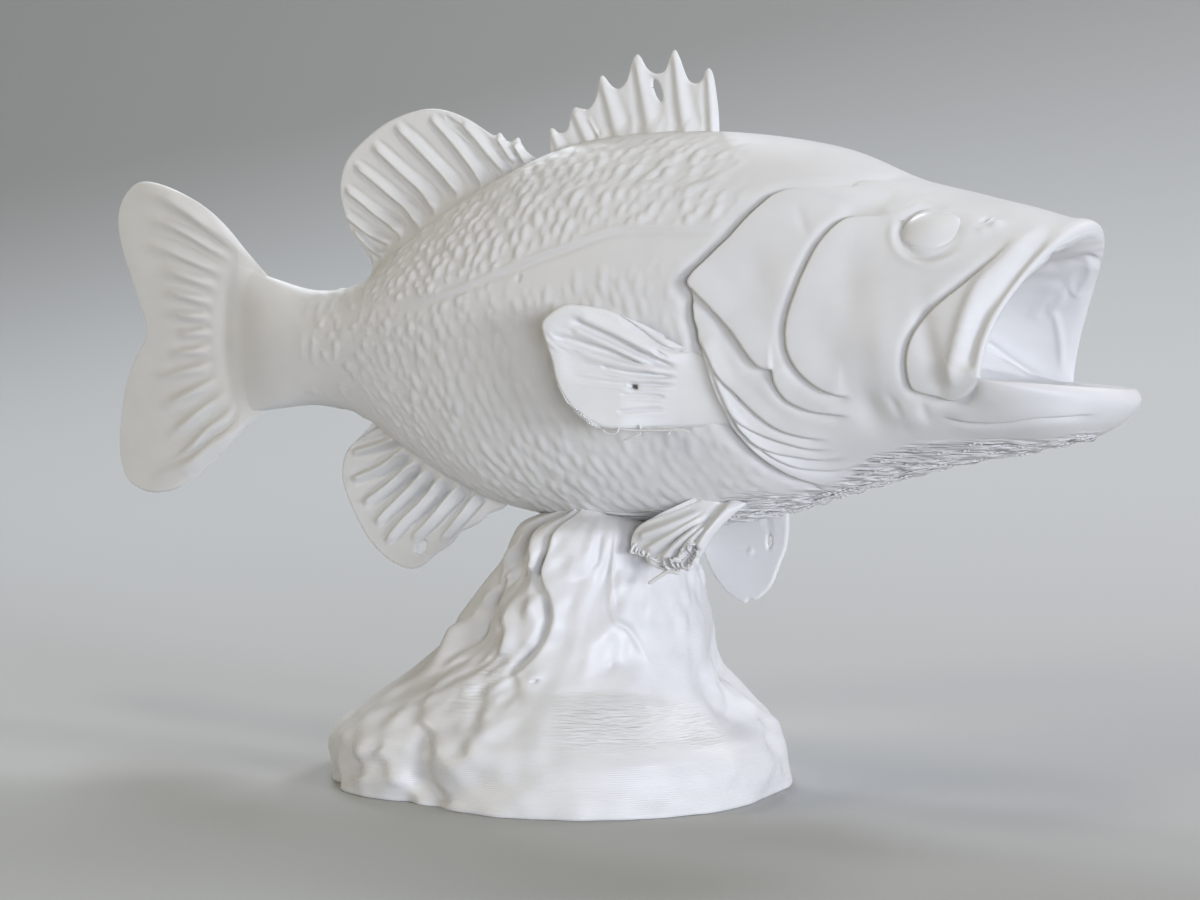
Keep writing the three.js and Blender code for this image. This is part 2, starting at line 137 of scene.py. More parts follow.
# The skin that head, trunk and tail stalk share. Each station: top (s, h), side (s, w, h), bottom
# (s, h), upper and lower superellipse exponents. They go from the tail root to the lips, then back
# through the open mouth to the gullet
stations = [
    ((-40.5, 50.6), (-40.5, 1.0, 43.0), (-40.5, 35.2), 2.0, 2.0),
    ((-36.0, 49.4), (-36.0, 2.3, 42.6), (-36.0, 35.8), 2.0, 2.0),
    ((-30.0, 48.4), (-30.0, 3.3, 42.4), (-30.0, 36.4), 2.0, 2.0),
    ((-24.0, 49.4), (-24.0, 4.5, 42.6), (-24.0, 35.6), 2.0, 2.0),
    ((-16.0, 54.9), (-16.0, 6.6, 43.4), (-16.0, 31.4), 2.0, 2.05),
    ((-8.0, 59.4), (-8.0, 8.6, 44.2), (-8.0, 27.9), 2.0, 2.1),
    ((0.0, 62.9), (0.0, 10.1, 45.0), (0.0, 26.4), 2.0, 2.15),
    ((8.0, 64.4), (8.0, 11.0, 45.4), (8.0, 25.9), 2.0, 2.2),
    ((16.0, 64.6), (16.0, 11.4, 45.6), (16.0, 26.3), 2.0, 2.2),
    ((24.0, 64.0), (24.0, 11.6, 45.6), (24.0, 27.6), 2.0, 2.1),
    ((31.0, 62.7), (31.0, 11.7, 45.4), (31.0, 29.8), 2.05, 2.0),
    ((38.0, 60.0), (37.0, 11.7, 44.8), (37.5, 31.8), 2.1, 2.0),
    ((44.0, 58.6), (42.0, 11.8, 43.6), (43.5, 33.4), 2.15, 2.0),
    ((49.6, 57.3), (45.4, 12.2, 42.4), (49.5, 34.7), 2.15, 2.0),
    ((53.1, 56.4), (47.6, 12.5, 41.7), (55.0, 36.0), 2.1, 2.0),
    ((54.7, 56.25), (48.6, 12.6, 41.5), (58.2, 37.8), 2.0, 2.0),
    ((55.3, 55.85), (49.2, 12.5, 41.4), (59.5, 39.6), 2.0, 2.0),
    ((55.3, 55.1), (49.3, 12.2, 41.3), (58.8, 40.8), 2.0, 2.0),    # the lips' edge
    ((54.7, 54.3), (48.7, 11.75, 41.25), (57.4, 40.3), 2.0, 2.0),
    ((52.5, 53.1), (46.2, 10.8, 41.8), (54.0, 38.8), 2.1, 2.2),
    ((46.5, 51.2), (42.5, 8.6, 43.6), (47.0, 38.8), 2.2, 2.2),
    ((40.5, 49.2), (38.5, 5.6, 44.8), (41.0, 40.6), 2.0, 2.0),
    ((37.0, 46.6), (36.5, 1.5, 45.2), (37.0, 43.8), 2.0, 2.0),
]
skinShape = dict(
    browCurve=1.75,        # how an upper half ring leans forward towards its top
    rim=17,                # number of the lips' station
    bendStart=-4.0,        # the body is straight ahead of this s
    bendRadius=170.0,      # of the tail's sweep
    rollAngle=0.065,       # the head leans over by this, in radians
    roll=(10.0, 40.0),     # from none at the first s to all of it at the second
    rollHeight=44.0,       # of the axis that the head rolls about
    typicalStation=10.5,   # whose ring sets how angles are spaced
)


def foldedAngle(angle):
    # the ring angle counted from the top down either flank, from 0 to pi
    return np.pi - np.abs(np.pi - angle)


def ringCorners(angle):
    # superellipse quarters: the half width goes with sin^(2/e) and the height with cos^(2/e);
    # the ring leans forward with cos^browCurve above its side, and with cos below it
    c, n = np.cos(angle), np.sin(angle)
    rings = []
    for top, side, bottom, upper, lower in stations:
        high = c >= 0
        power = np.where(high, 2 / upper, 2 / lower)
        lean = np.where(high, np.abs(c) ** skinShape["browCurve"], np.abs(c))
        endS, endH = np.where(high, top[0], bottom[0]), np.where(high, top[1], bottom[1])
        rings.append(np.stack([
            side[0] + (endS - side[0]) * lean,
            side[1] * np.sign(n) * np.abs(n) ** power,
            side[2] + (endH - side[2]) * np.abs(c) ** power,
        ], -1))
    return np.array(rings)


def skinAt(station, angle):
    # station: rows x columns, angle: one for each column. Each column is a centripetal Catmull-Rom
    # curve through the stations: its knots are spaced by the square root of their distance
    k = ringCorners(angle)
    k = np.concatenate([2 * k[:1] - k[1:2], k, 2 * k[-1:] - k[-2:-1]])
    i = np.clip(np.floor(station).astype(int), 0, len(stations) - 2)
    f = (station - i)[..., None]
    column = np.broadcast_to(np.arange(len(angle)), station.shape)
    p = [k[i + m, column] for m in range(4)]
    d = [np.maximum(np.linalg.norm(p[m + 1] - p[m], axis=-1, keepdims=True) ** 0.5, 1e-4)
         for m in range(3)]
    slopeA = ((p[1] - p[0]) / d[0] - (p[2] - p[0]) / (d[0] + d[1]) + (p[2] - p[1]) / d[1]) * d[1]
    slopeB = ((p[2] - p[1]) / d[1] - (p[3] - p[1]) / (d[1] + d[2]) + (p[3] - p[2]) / d[2]) * d[1]
    return hermite(p[1], p[2], slopeA, slopeB, f)


def settle(points):
    # roll round the line at rollHeight as s passes roll's two places, then wrap everything behind
    # bendStart on an arc of bendRadius
    s, w, h = points[..., 0], points[..., 1], points[..., 2] - skinShape["rollHeight"]
    roll = skinShape["rollAngle"] * blendStep(*skinShape["roll"], s)
    rolledW = w * np.cos(roll) - h * np.sin(roll)
    rolledH = skinShape["rollHeight"] + h * np.cos(roll) + w * np.sin(roll)
    start, radius = skinShape["bendStart"], skinShape["bendRadius"]
    turn = np.maximum(0, (start - s) / radius)
    x = np.where(s < start, start - radius * np.sin(turn), s)
    y = radius * (1 - np.cos(turn))
    return np.stack([x - rolledW * np.sin(turn), y - rolledW * np.cos(turn), rolledH], -1)


def gridNormals(points):
    # the cross product of the steps along rows and round the rings, which points outwards
    across = np.roll(points, -1, axis=1) - np.roll(points, 1, axis=1)
    along = np.gradient(points, axis=0)
    n = np.cross(along, across)
    return n / np.maximum(np.linalg.norm(n, axis=-1, keepdims=True), 1e-9)


def evenAngles(count, sideWeight):
    # ring angles spaced evenly by length on a typical ring, and closer on the flanks by sideWeight
    angle = np.linspace(0, 2 * np.pi, 2001)
    ring = skinAt(np.full((1, len(angle)), skinShape["typicalStation"]), angle)[0]
    step = np.linalg.norm(np.diff(ring, axis=0), axis=1)
    middle = (angle[1:] + angle[:-1]) / 2
    total = np.concatenate([[0], np.cumsum(step * (1 + sideWeight * np.sin(middle) ** 2))])
    return np.interp(np.arange(count) / count * total[-1], total, angle)


# the mean length of the skin's columns up to each station, to space rows evenly in millimetres
lengthStations = np.linspace(0, len(stations) - 1, 2201)
lengthAngles = np.linspace(0, 2 * np.pi, 24, endpoint=False)
lengthGrid = skinAt(np.repeat(lengthStations[:, None], len(lengthAngles), 1), lengthAngles)
lengthSteps = np.diff(lengthGrid, axis=0)
skinLength = np.concatenate([[0], np.cumsum(np.linalg.norm(lengthSteps, axis=-1).mean(1))])


def lengthOf(station):
    # millimetres along the skin up to a station
    return np.interp(station, lengthStations, skinLength)


def stationOf(length):
    # the station at that many millimetres along the skin
    return np.interp(length, skinLength, lengthStations)


def makePiece(name, points, faces, material, replaced=(), weld=False, rough=None):
    # faces point outwards where the sum of corner . (corner x corner) over them is positive; rough
    # marks for each corner how far it sags in threads
    p = np.asarray(points, float).reshape(-1, 3) * millimetre
    quads = [np.asarray(f) for f in faces]
    volume = sum(np.einsum("ij,ij->", p[f[:, 0]], np.cross(p[f[:, 1]], p[f[:, 2]]))
                 + (np.einsum("ij,ij->", p[f[:, 0]], np.cross(p[f[:, 2]], p[f[:, 3]]))
                    if f.shape[1] == 4 else 0) for f in quads)
    if volume < 0:
        quads = [f[:, ::-1] for f in quads]
    mesh = bpy.data.meshes.new(name)
    mesh.from_pydata(p.tolist(), [], [face for f in quads for face in f.tolist()])
    if weld:
        soup = bmesh.new()
        soup.from_mesh(mesh)
        bmesh.ops.remove_doubles(soup, verts=soup.verts, dist=2e-7)
        bmesh.ops.delete(soup, geom=[v for v in soup.verts if not v.link_faces], context="VERTS")
        soup.to_mesh(mesh)
        soup.free()
    if rough is not None:
        mesh.attributes.new("threads", "FLOAT", "POINT").data.foreach_set("value", rough)
    mesh.shade_smooth()
    mesh.materials.append(material)
    piece = bpy.data.objects.new(name, mesh)
    bpy.context.scene.collection.objects.link(piece)
    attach(piece, "root")
    if replaced:
        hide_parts(*replaced)
    print(f"{name}: {len(mesh.polygons)} faces")
    return piece


def ringFaces(rows, columns, offset=0):
    # quads between neighbouring rings of a grid whose columns close
    i, j = np.meshgrid(np.arange(rows - 1), np.arange(columns), indexing="ij")
    a, b = i * columns + j, i * columns + (j + 1) % columns
    return np.stack([a, b, b + columns, a + columns], -1).reshape(-1, 4) + offset


def closedRings(points, firstPole, lastPole):
    # a grid of rings closed by a pole at each end, as corners, quads and triangles
    rows, columns = points.shape[:2]
    corners = np.concatenate([points.reshape(-1, 3), [firstPole, lastPole]])
    j = np.arange(columns)
    k = (j + 1) % columns
    last = (rows - 1) * columns
    fans = np.concatenate([
        np.stack([np.full(columns, rows * columns), k, j], -1),
        np.stack([np.full(columns, rows * columns + 1), last + j, last + k], -1),
    ])
    return corners, [ringFaces(rows, columns), fans]


def twoSheets(near, far, hidden=None):
    # two grids that share their borders; hidden marks the cells left out of both for a hole
    rows, columns = near.shape[:2]
    i, j = np.meshgrid(np.arange(rows - 1), np.arange(columns - 1), indexing="ij")
    a = i * columns + j
    quads = np.stack([a, a + 1, a + columns + 1, a + columns], -1)
    quads = quads.reshape(-1, 4) if hidden is None else quads[~hidden]
    corners = np.concatenate([near.reshape(-1, 3), far.reshape(-1, 3)])
    return corners, [np.concatenate([quads, quads[:, ::-1] + rows * columns])]


def tubes(paths, radii, sides=6):
    # paths: tubes x steps x 3. A ring of corners round each step, square to the path, closed to a
    # point at both ends
    along = np.gradient(paths, axis=1)
    along /= np.maximum(np.linalg.norm(along, axis=-1, keepdims=True), 1e-9)
    level = np.cross(along, [0.05, 0.03, 1.0])
    level /= np.maximum(np.linalg.norm(level, axis=-1, keepdims=True), 1e-9)
    upright = np.cross(level, along)
    turn = np.linspace(0, 2 * np.pi, sides, endpoint=False)
    ring = level[:, :, None] * np.cos(turn)[:, None] + upright[:, :, None] * np.sin(turn)[:, None]
    corners = paths[:, :, None] + ring * radii[..., None, None]
    count, steps = paths.shape[:2]
    faces = [ringFaces(steps, sides, n * steps * sides) for n in range(count)]
    return corners.reshape(-1, 3), [np.concatenate(faces)]


def maths(tree, operation, a, b=0.0):
    # a node of a with b, each of them a number or a socket
    node = tree.nodes.new("ShaderNodeMath")
    node.operation = operation
    for socket, value in zip(node.inputs, (a, b)):
        if isinstance(value, (int, float)):
            socket.default_value = value
        else:
            tree.links.new(value, socket)
    return node.outputs[0]


def setInputs(node, **values):
    # each name is a socket's, with _ for a space
    for name, value in values.items():
        node.inputs[name.replace("_", " ")].default_value = value


def noise(tree, place, stretch, detail):
    # noise over places in metres, with stretch lumps to the millimetre along each axis
    mapping, texture = tree.nodes.new("ShaderNodeMapping"), tree.nodes.new("ShaderNodeTexNoise")
    setInputs(mapping, Scale=[k / millimetre for k in stretch])
    tree.links.new(place, mapping.inputs["Vector"])
    tree.links.new(mapping.outputs["Vector"], texture.inputs["Vector"])
    setInputs(texture, Scale=1.0, Detail=detail)
    return texture.outputs["Fac"]


# the printed layers' inputs with their usual values, in metres and shares, and the lumps to the
# millimetre of each noise along x, y and z with its detail
layerSpec = dict(
    inputs=dict(Pitch=0.0002, Depth=0.003, Unevenness=0.6, Coarse_Below=0.012, Threads=0.0),
    strength=((0.03, 0.03, 1.3), 1), ripple=((0.02, 0.02, 0.55), 2), patches=((0.05, 0.05, 0.08), 1),
    strands=((0.12, 1.0, 4.4), 2), mottle=((0.22, 0.22, 0.35), 4),
    unevenGain=3, rippleGain=3, patchGain=4, lowGain=1.5,
    patchFrom=0.42,         # noise above which the layers show more
    faintest=0.12,          # share of the depth between the patches
    strandDepth=0.9,        # mm
)


def layerLines():
    # the height in mm of printed layers: a sine of the height over the pitch, uneven from layer to
    # layer and patchy over the skin, deepest in the lowest layers; and of sagged threads
    spec = layerSpec
    group = bpy.data.node_groups.new("layerLines", "ShaderNodeTree")
    face = group.interface
    for name, value in spec["inputs"].items():
        socket = face.new_socket(name.replace("_", " "), in_out="INPUT", socket_type="NodeSocketFloat")
        socket.default_value = value
    face.new_socket("Place", in_out="INPUT", socket_type="NodeSocketVector")
    for name in ("Height", "Mottle"):
        face.new_socket(name, in_out="OUTPUT", socket_type="NodeSocketFloat")
    given, result = group.nodes.new("NodeGroupInput"), group.nodes.new("NodeGroupOutput")
    value, place = given.outputs, given.outputs["Place"]
    split = group.nodes.new("ShaderNodeSeparateXYZ")
    group.links.new(place, split.inputs[0])

    def do(operation, a, b):
        # one node of this group
        return maths(group, operation, a, b)

    def times(*factors):
        # factor x factor x ...
        product = factors[0]
        for factor in factors[1:]:
            product = do("MULTIPLY", product, factor)
        return product

    def lumps(name):
        # one of the noises listed above
        return noise(group, place, *spec[name])

    wave = do("SINE", times(do("DIVIDE", split.outputs["Z"], value["Pitch"]), 2 * np.pi), 0.0)
    uneven = do("MULTIPLY_ADD", do("SUBTRACT", lumps("strength"), 0.5),
                times(value["Unevenness"], spec["unevenGain"]))
    uneven.node.inputs[2].default_value = 1
    low = do("SUBTRACT", 1, do("DIVIDE", split.outputs["Z"], value["Coarse Below"]))
    patches = do("SUBTRACT", lumps("patches"), spec["patchFrom"])
    share = do("MAXIMUM", times(patches, spec["patchGain"]), times(low, spec["lowGain"]))
    share = do("MINIMUM", do("MAXIMUM", share, spec["faintest"]), 1)
    layers = do("ADD", times(wave, uneven), times(lumps("ripple"), spec["rippleGain"]))
    strands = times(do("SUBTRACT", lumps("strands"), 0.5), value["Threads"], spec["strandDepth"])
    group.links.new(do("ADD", times(layers, share, value["Depth"]), strands), result.inputs["Height"])
    group.links.new(lumps("mottle"), result.inputs["Mottle"])
    return group


layerGroup = layerLines()


# what all parts of the print share, and each part's own: dark and pale colour, least and most
# roughness, light scattered inside, depth of the layers in mm and how uneven they are
plasticSpec = dict(ior=1.46, scatterRadius=(1.0, 0.93, 0.86), scatterScale=0.0007, mottle=(0.3, 0.7))
plastics = dict(
    bodyPlastic=dict(dark=(0.63, 0.63, 0.635), pale=(0.7, 0.7, 0.705), gloss=0.47, matt=0.58,
                     scatter=0.06, layerDepth=0.003, unevenness=0.6),
    finPlastic=dict(dark=(0.64, 0.64, 0.64), pale=(0.71, 0.71, 0.71), gloss=0.45, matt=0.56,
                    scatter=0.1, layerDepth=0.003, unevenness=0.6),
    eyePlastic=dict(dark=(0.65, 0.65, 0.655), pale=(0.7, 0.7, 0.705), gloss=0.36, matt=0.46,
                    scatter=0.06, layerDepth=0.002, unevenness=0.5),
    pedestalPlastic=dict(dark=(0.64, 0.64, 0.645), pale=(0.72, 0.72, 0.725), gloss=0.38, matt=0.5,
                         scatter=0.06, layerDepth=0.006, unevenness=0.8),
)


def whitePlastic(name):
    # filament plastic: layers and threads in the normal, a faint mottle in colour and gloss
    spec = dict(plasticSpec, **plastics[name])
    material = bpy.data.materials.new(name)
    material.use_nodes = True
    nodes, link = material.node_tree.nodes, material.node_tree.links.new
    shader = nodes["Principled BSDF"]
    setInputs(shader, IOR=spec["ior"], Subsurface_Weight=spec["scatter"],
              Subsurface_Radius=spec["scatterRadius"], Subsurface_Scale=spec["scatterScale"])
    place, mark = nodes.new("ShaderNodeTexCoord"), nodes.new("ShaderNodeAttribute")
    mark.attribute_name = "threads"
    layers = nodes.new("ShaderNodeGroup")
    layers.node_tree = layerGroup
    setInputs(layers, Depth=spec["layerDepth"], Unevenness=spec["unevenness"])
    link(place.outputs["Object"], layers.inputs["Place"])
    link(mark.outputs["Fac"], layers.inputs["Threads"])
    bump = nodes.new("ShaderNodeBump")
    setInputs(bump, Strength=1.0, Distance=millimetre)
    link(layers.outputs["Height"], bump.inputs["Height"])
    link(bump.outputs["Normal"], shader.inputs["Normal"])
    tint, gloss = nodes.new("ShaderNodeMix"), nodes.new("ShaderNodeMapRange")
    tint.data_type = "RGBA"
    tint.inputs[6].default_value, tint.inputs[7].default_value = (*spec["dark"], 1), (*spec["pale"], 1)
    low, high = spec["mottle"]
    setInputs(gloss, From_Min=low, From_Max=high, To_Min=spec["gloss"], To_Max=spec["matt"])
    link(layers.outputs["Mottle"], tint.inputs[0])
    link(layers.outputs["Mottle"], gloss.inputs["Value"])
    link(tint.outputs[2], shader.inputs["Base Color"])
    link(gloss.outputs["Result"], shader.inputs["Roughness"])
    return material


bodyPlastic, finPlastic, eyePlastic, pedestalPlastic = (whitePlastic(name) for name in plastics)
print("finishes made")


# the rear edge of the gill covers: ring angle in degrees, and how far forward the edge is there
gillEdge = [
    (0, 40.2), (12, 39.9), (21.6, 38.5), (25, 37.5), (28.8, 36.3), (32.7, 35.0), (36.6, 33.5),
    (39.6, 32.1),
    (41.7, 30.5), (42.9, 29.2), (44.1, 28.2), (46.8, 26.9), (54.5, 25.1), (62.5, 23.4), (69, 21.5),
    (75, 19.7), (81.5, 20.1), (85, 20.4), (93, 21.0), (100.5, 21.8), (108, 22.6), (119, 23.9),
    (130, 25.8), (143, 28.3), (152, 30.2), (162.5, 32.1), (172, 33.6), (180, 34),
]

headSpec = dict(
    columns=400, rows=186, sideWeight=0.55, mouthRows=54,
    open=(26, 41),                  # ring angles over which the gill edge rises out of the nape
    close=(146, 166),               # and sinks back into the throat
    coverRise=0.42,                 # of the gill cover's edge above the skin
    coverReach=6.5,                 # how far forward the rise has gone
    frillRise=0.34,                 # of the thin membrane's edge, below the cover's corner
    frillReach=2.6,
    frill=(78, 92),                 # ring angles over which the cover gives way to the membrane
    frillJitter=0.16,               # raggedness of the membrane's edge
    ragged=((79, 82), (92, 98)),    # ring angles over which it starts and ends
    flank=(2.0, 4.5),               # distance from the middle over which steps and lines start
    ripple=0.05, rippleSize=3.5,    # of the whole skin
    lipFade=1.5,                    # relief runs out over this length before the lips' edge
    # rows tucked under the skin: how far back and how far in they lie, at the nape and at the gill
    backNape=(4.4, 3.4, 2.4, 1.5, 0.7), inNape=(0.9, 0.34, 0.15, 0.05, 0.008),
    backGill=(-0.9, -0.5, -0.2, -0.06, 0.03), inGill=(2.6, 1.8, 0.9, 0.34, 0.07),
    plug=(31.0, 0.0, 45.0), plugRings=(0.35, 0.7, 0.93),    # closes the head inside the trunk
    mouthEase=1.5,                  # draws the mouth's rows towards the lips
)

# steps in the skin along curves given as (s, h). The raised side is on the left of the direction:
# rise, width of its wall, reach of the rise behind it, depth and width of the hollow before it, and
# the shares of its length over which both ends fade
headSteps = [
    # preopercle
    dict(rise=0.3, width=0.3, reach=3.6, hollow=0.5, before=0.75, fades=(0.22, 0.12), points=[
        (38.4, 56.0), (36.6, 56.1), (34.3, 55.8), (32.4, 53.7), (31.1, 50.6), (30.3, 48.2), (29.8, 46.2),
        (29.8, 44.4), (30.2, 43.0), (31.2, 41.5), (32.9, 40.1), (34.8, 39.4), (36.2, 39.4)]),
    # interopercle
    dict(rise=0.26, width=0.3, reach=2.6, hollow=0.4, before=0.6, fades=(0.04, 0.16), points=[
        (28.2, 42.0), (28.3, 41.3), (28.7, 40.2), (29.7, 38.9), (31.6, 38.0), (33.4, 37.7), (36.0, 37.5)]),
    # cover's corner
    dict(rise=0.34, width=0.32, reach=3.4, hollow=0.5, before=1.1, fades=(0.02, 0.04), points=[
        (19.3, 50.0), (20.2, 49.3), (22.1, 47.6), (24.3, 45.3), (26.0, 43.1), (27.0, 42.1), (27.9, 41.8),
        (28.5, 41.8)]),
    # subopercle
    dict(rise=0.28, width=0.28, reach=1.8, hollow=0.3, before=0.45, fades=(0.04, 0.2), points=[
        (21.0, 44.8), (22.9, 41.3), (24.5, 39.6), (26.4, 37.7), (28.5, 36.2), (31.0, 35.5), (33.4, 35.3)]),
    # first fold
    dict(rise=0.24, width=0.26, reach=1.1, hollow=0.24, before=0.4, fades=(0.2, 0.2), points=[
        (23.6, 38.7), (24.6, 37.2), (25.8, 36.2), (27.2, 35.5), (29.0, 34.9), (31.1, 34.4), (33.4, 34.4)]),
    # second
    dict(rise=0.24, width=0.26, reach=1.1, hollow=0.24, before=0.4, fades=(0.14, 0.2), points=[
        (22.9, 39.4), (24.0, 37.3), (25.2, 35.8), (26.3, 34.8), (28.0, 34.0), (29.9, 33.6), (32.0, 33.4),
        (34.6, 33.7)]),
    # third
    dict(rise=0.22, width=0.26, reach=0.9, hollow=0.2, before=0.35, fades=(0.1, 0.2), points=[
        (21.6, 43.2), (22.4, 41.3), (23.4, 38.9), (24.5, 36.7), (25.7, 35.1), (27.2, 33.8), (29.5, 32.7),
        (32.7, 32.4), (35.4, 33.1), (38.6, 34.4)]),
    # jaw plate
    dict(rise=0.2, width=0.32, reach=6.0, hollow=0.5, before=0.7, fades=(0.2, 0.16), points=[
        (50.3, 53.7), (49.5, 52.6), (48.2, 51.1), (46.6, 49.6), (45.1, 48.3), (43.3, 46.6), (42.3, 44.8),
        (41.9, 42.9), (42.0, 41.2), (42.4, 40.2), (43.4, 39.8), (44.8, 39.5), (46.1, 39.2), (47.1, 39.4),
        (48.1, 40.0), (48.9, 40.8), (49.3, 41.6)]),
    # lower jaw
    dict(rise=0.24, width=0.26, reach=1.6, hollow=0.46, before=0.45, fades=(0.14, 0.2), points=[
        (44.6, 37.7), (47.6, 37.4), (49.8, 37.4), (51.7, 37.6), (53.8, 38.0), (56.1, 38.2), (58.0, 38.4)]),
]

# grooves (rise below 0) and ridges along curves: rise, half width, points
headLines = [
    (-0.56, 0.78, [(53.9, 55.6), (52.8, 54.1), (51.8, 51.7), (50.5, 49.1), (49.4, 47.2), (48.7, 45.0),
                  (48.3, 43.0), (48.0, 41.9)]),                                  # valley of the jaw plate
    (0.42, 0.75, [(52.2, 56.0), (51.1, 54.1), (49.9, 51.8), (48.5, 49.8), (47.6, 46.9), (47.2, 45.0),
                  (46.7, 43.0), (46.7, 41.4), (47.0, 40.2)]),
    (0.22, 0.5, [(54.4, 54.8), (53.6, 53.2), (52.0, 50.6), (50.7, 48.2), (49.6, 45.8), (49.0, 43.4),
                 (48.8, 41.4)]),                                                 # the lip
    (-0.15, 0.6, [(38.0, 59.6), (39.7, 58.7), (41.5, 57.9), (43.5, 57.6), (46.0, 57.4)]),    # brow
    (0.14, 0.7, [(37.6, 58.2), (39.2, 57.6), (40.4, 57.2)]),
    (-0.26, 0.7, [(33.2, 56.3), (35.1, 57.0), (37.2, 57.4), (39.0, 57.5), (40.4, 57.2)]),
    (0.14, 0.6, [(37.0, 56.2), (39.4, 56.7), (40.6, 56.7)]),
]

# soft hills and hollows on each flank: s, h, radius along, radius across, tilt in degrees, rise
headSwells = [
    (35.8, 49.6, 1.5, 3.0, 6, -0.2),       # hollow of the cheek
    (34.4, 43.4, 1.6, 2.4, -30, -0.16),
    (39.4, 43.6, 1.5, 3.4, 4, 0.22),       # hill behind the jaw plate
    (43.9, 44.4, 1.0, 3.8, 12, -0.36),     # hollow of the jaw plate
    (45.0, 42.0, 0.7, 2.4, 8, -0.16),
    (37.6, 38.2, 1.5, 2.0, 20, -0.5),      # facet under the cheek
    (42.0, 37.7, 1.6, 1.2, 0, 0.3),        # knuckle of the jaw
    (40.3, 38.7, 0.5, 0.9, 30, -0.18),
    (43.2, 38.2, 0.5, 0.9, 10, -0.16),
    (30.2, 55.6, 0.5, 1.5, 30, -0.14),     # dent of the gill cover
    (26.8, 50.2, 1.4, 2.8, 25, -0.18),
    (47.1, 55.85, 0.34, 0.26, 20, -0.26),  # nostril
    (48.1, 55.45, 0.62, 0.42, -15, 0.36),
    (47.3, 54.7, 0.6, 0.36, -10, 0.2),
    (45.9, 55.0, 1.0, 1.3, 0, 0.3),        # before the eye
    (44.6, 56.6, 1.2, 0.6, -10, 0.16),
]

eyeSpec = dict(
    centre=(42.75, 8.26, 54.88), outward=(0.14, 0.76, 0.635),
    wide=3.0, tall=2.45, sunk=0.5, swell=1.15,     # how far the rim lies in and how far the ball swells
    diskInner=2.4, diskOuter=2.95, diskRise=0.1,
    grooveRadius=2.98, grooveInner=0.24, grooveOuter=0.6, grooveDepth=0.4,
    ringRadius=3.85, ringWidth=0.42, ringRise=0.18,
    flatten=1.25,                                  # height counts for this much more than length
    rear=(-0.9, 0.5), rearTilt=0.1, diskFront=0.4,  # where the disk and groove stand out, and the least
    low=(-0.1, 0.8), lowTilt=(0.5, 0.75),          # where the ring shows, behind and below
    socketInner=1.0, socketOuter=1.6, socketDepth=1.1,
    rows=64, columns=96)

# the skin is rough with sagging strands below this line: s and h
roughLine = [
    (2, 26.4), (8, 28.0), (12, 28.3), (18.2, 29.2), (22.8, 30.2), (27.5, 30.4), (32.3, 31.4), (34, 32.4),
    (37.3, 34.6), (42.4, 35.6), (46.8, 36.1), (51.5, 36.0), (54.3, 36.3), (56.3, 37.0), (58.3, 37.9),
    (60, 38.6)]
# the overhang below it: pitch of its bands in mm, their rise and the rise of what breaks them up
overhangSpec = dict(
    pitch=0.62, bands=0.15, broken=0.26, brokenSize=(5, 1.1, 0.4),
    sway=0.4, swaySize=(6, 6, 50),          # of the bands' height
    wander=0.5, wanderSize=(3, 9, 9),       # of the line itself
    edge=(-0.1, 0.7),                       # depth below the line over which it starts
)


def stepRelief(step, s, h):
    # rise x (smooth step up over the wall's width) x (smooth fall over the reach), and before the
    # wall a hollow that deepens towards it as a bell
    d, along = nearCurve(step["points"], s, h)
    up = blendStep(-step["width"] / 2, step["width"] / 2, d)
    hollow = step["hollow"] * bell(np.minimum(d, 0), step["before"])
    return fadeEnds(along, *step["fades"]) * (
        step["rise"] * up * (1 - blendStep(0, step["reach"], d)) - (1 - up) * hollow)


def lineRelief(line, s, h, samples=50, fades=(0.2, 0.16)):
    # a bell across a curve, which runs out at its ends
    rise, width, points = line
    d, along = nearCurve(points, s, h, samples)
    return rise * bell(d, width) * fadeEnds(along, *fades)


def swellRelief(swell, s, h):
    # a bell over an ellipse whose long axis is turned by the tilt
    centreS, centreH, along, across, tilt, rise = swell
    c, n = np.cos(np.radians(tilt)), np.sin(np.radians(tilt))
    ds, dh = s - centreS, h - centreH
    return rise * spot(ds * c + dh * n, dh * c - ds * n, along, across)


def underside(points):
    # 1 below the rough line, 0 above it
    spec = overhangSpec
    s, h = points[..., 0], points[..., 2]
    wander = spec["wander"] * smoothNoise(points, spec["wanderSize"], 9)
    return blendStep(*spec["edge"], np.interp(s, *np.array(roughLine).T) + wander - h)


def overhangRelief(points):
    # stacked bands of height, wandering and broken up along the body, below the rough line
    spec = overhangSpec
    h = points[..., 2] + spec["sway"] * smoothNoise(points, spec["swaySize"], 5)
    bands = spec["bands"] * np.sin(2 * np.pi * h / spec["pitch"])
    return underside(points) * (bands + spec["broken"] * smoothNoise(points, spec["brokenSize"], 6))


def seamStation(angle):
    # the station at which each column of the skin passes the gill edge
    edge = np.array(gillEdge, float)
    wanted = np.interp(np.degrees(foldedAngle(angle)), edge[:, 0], edge[:, 1])
    samples = np.linspace(4, 14, 1001)  # stations on both sides of the edge
    s = skinAt(np.repeat(samples[:, None], len(angle), 1), angle)[..., 0]
    ahead = np.argmax(s > wanted, axis=0)
    column = np.arange(len(angle))
    s0, s1 = s[ahead - 1, column], s[ahead, column]
    return samples[ahead - 1] + (wanted - s0) / (s1 - s0) * (samples[1] - samples[0])


def openShare(angle):
    # 1 where the gill edge stands free, 0 on the nape and the throat
    folded = np.degrees(foldedAngle(angle))
    return blendStep(*headSpec["open"], folded) * (1 - blendStep(*headSpec["close"], folded))


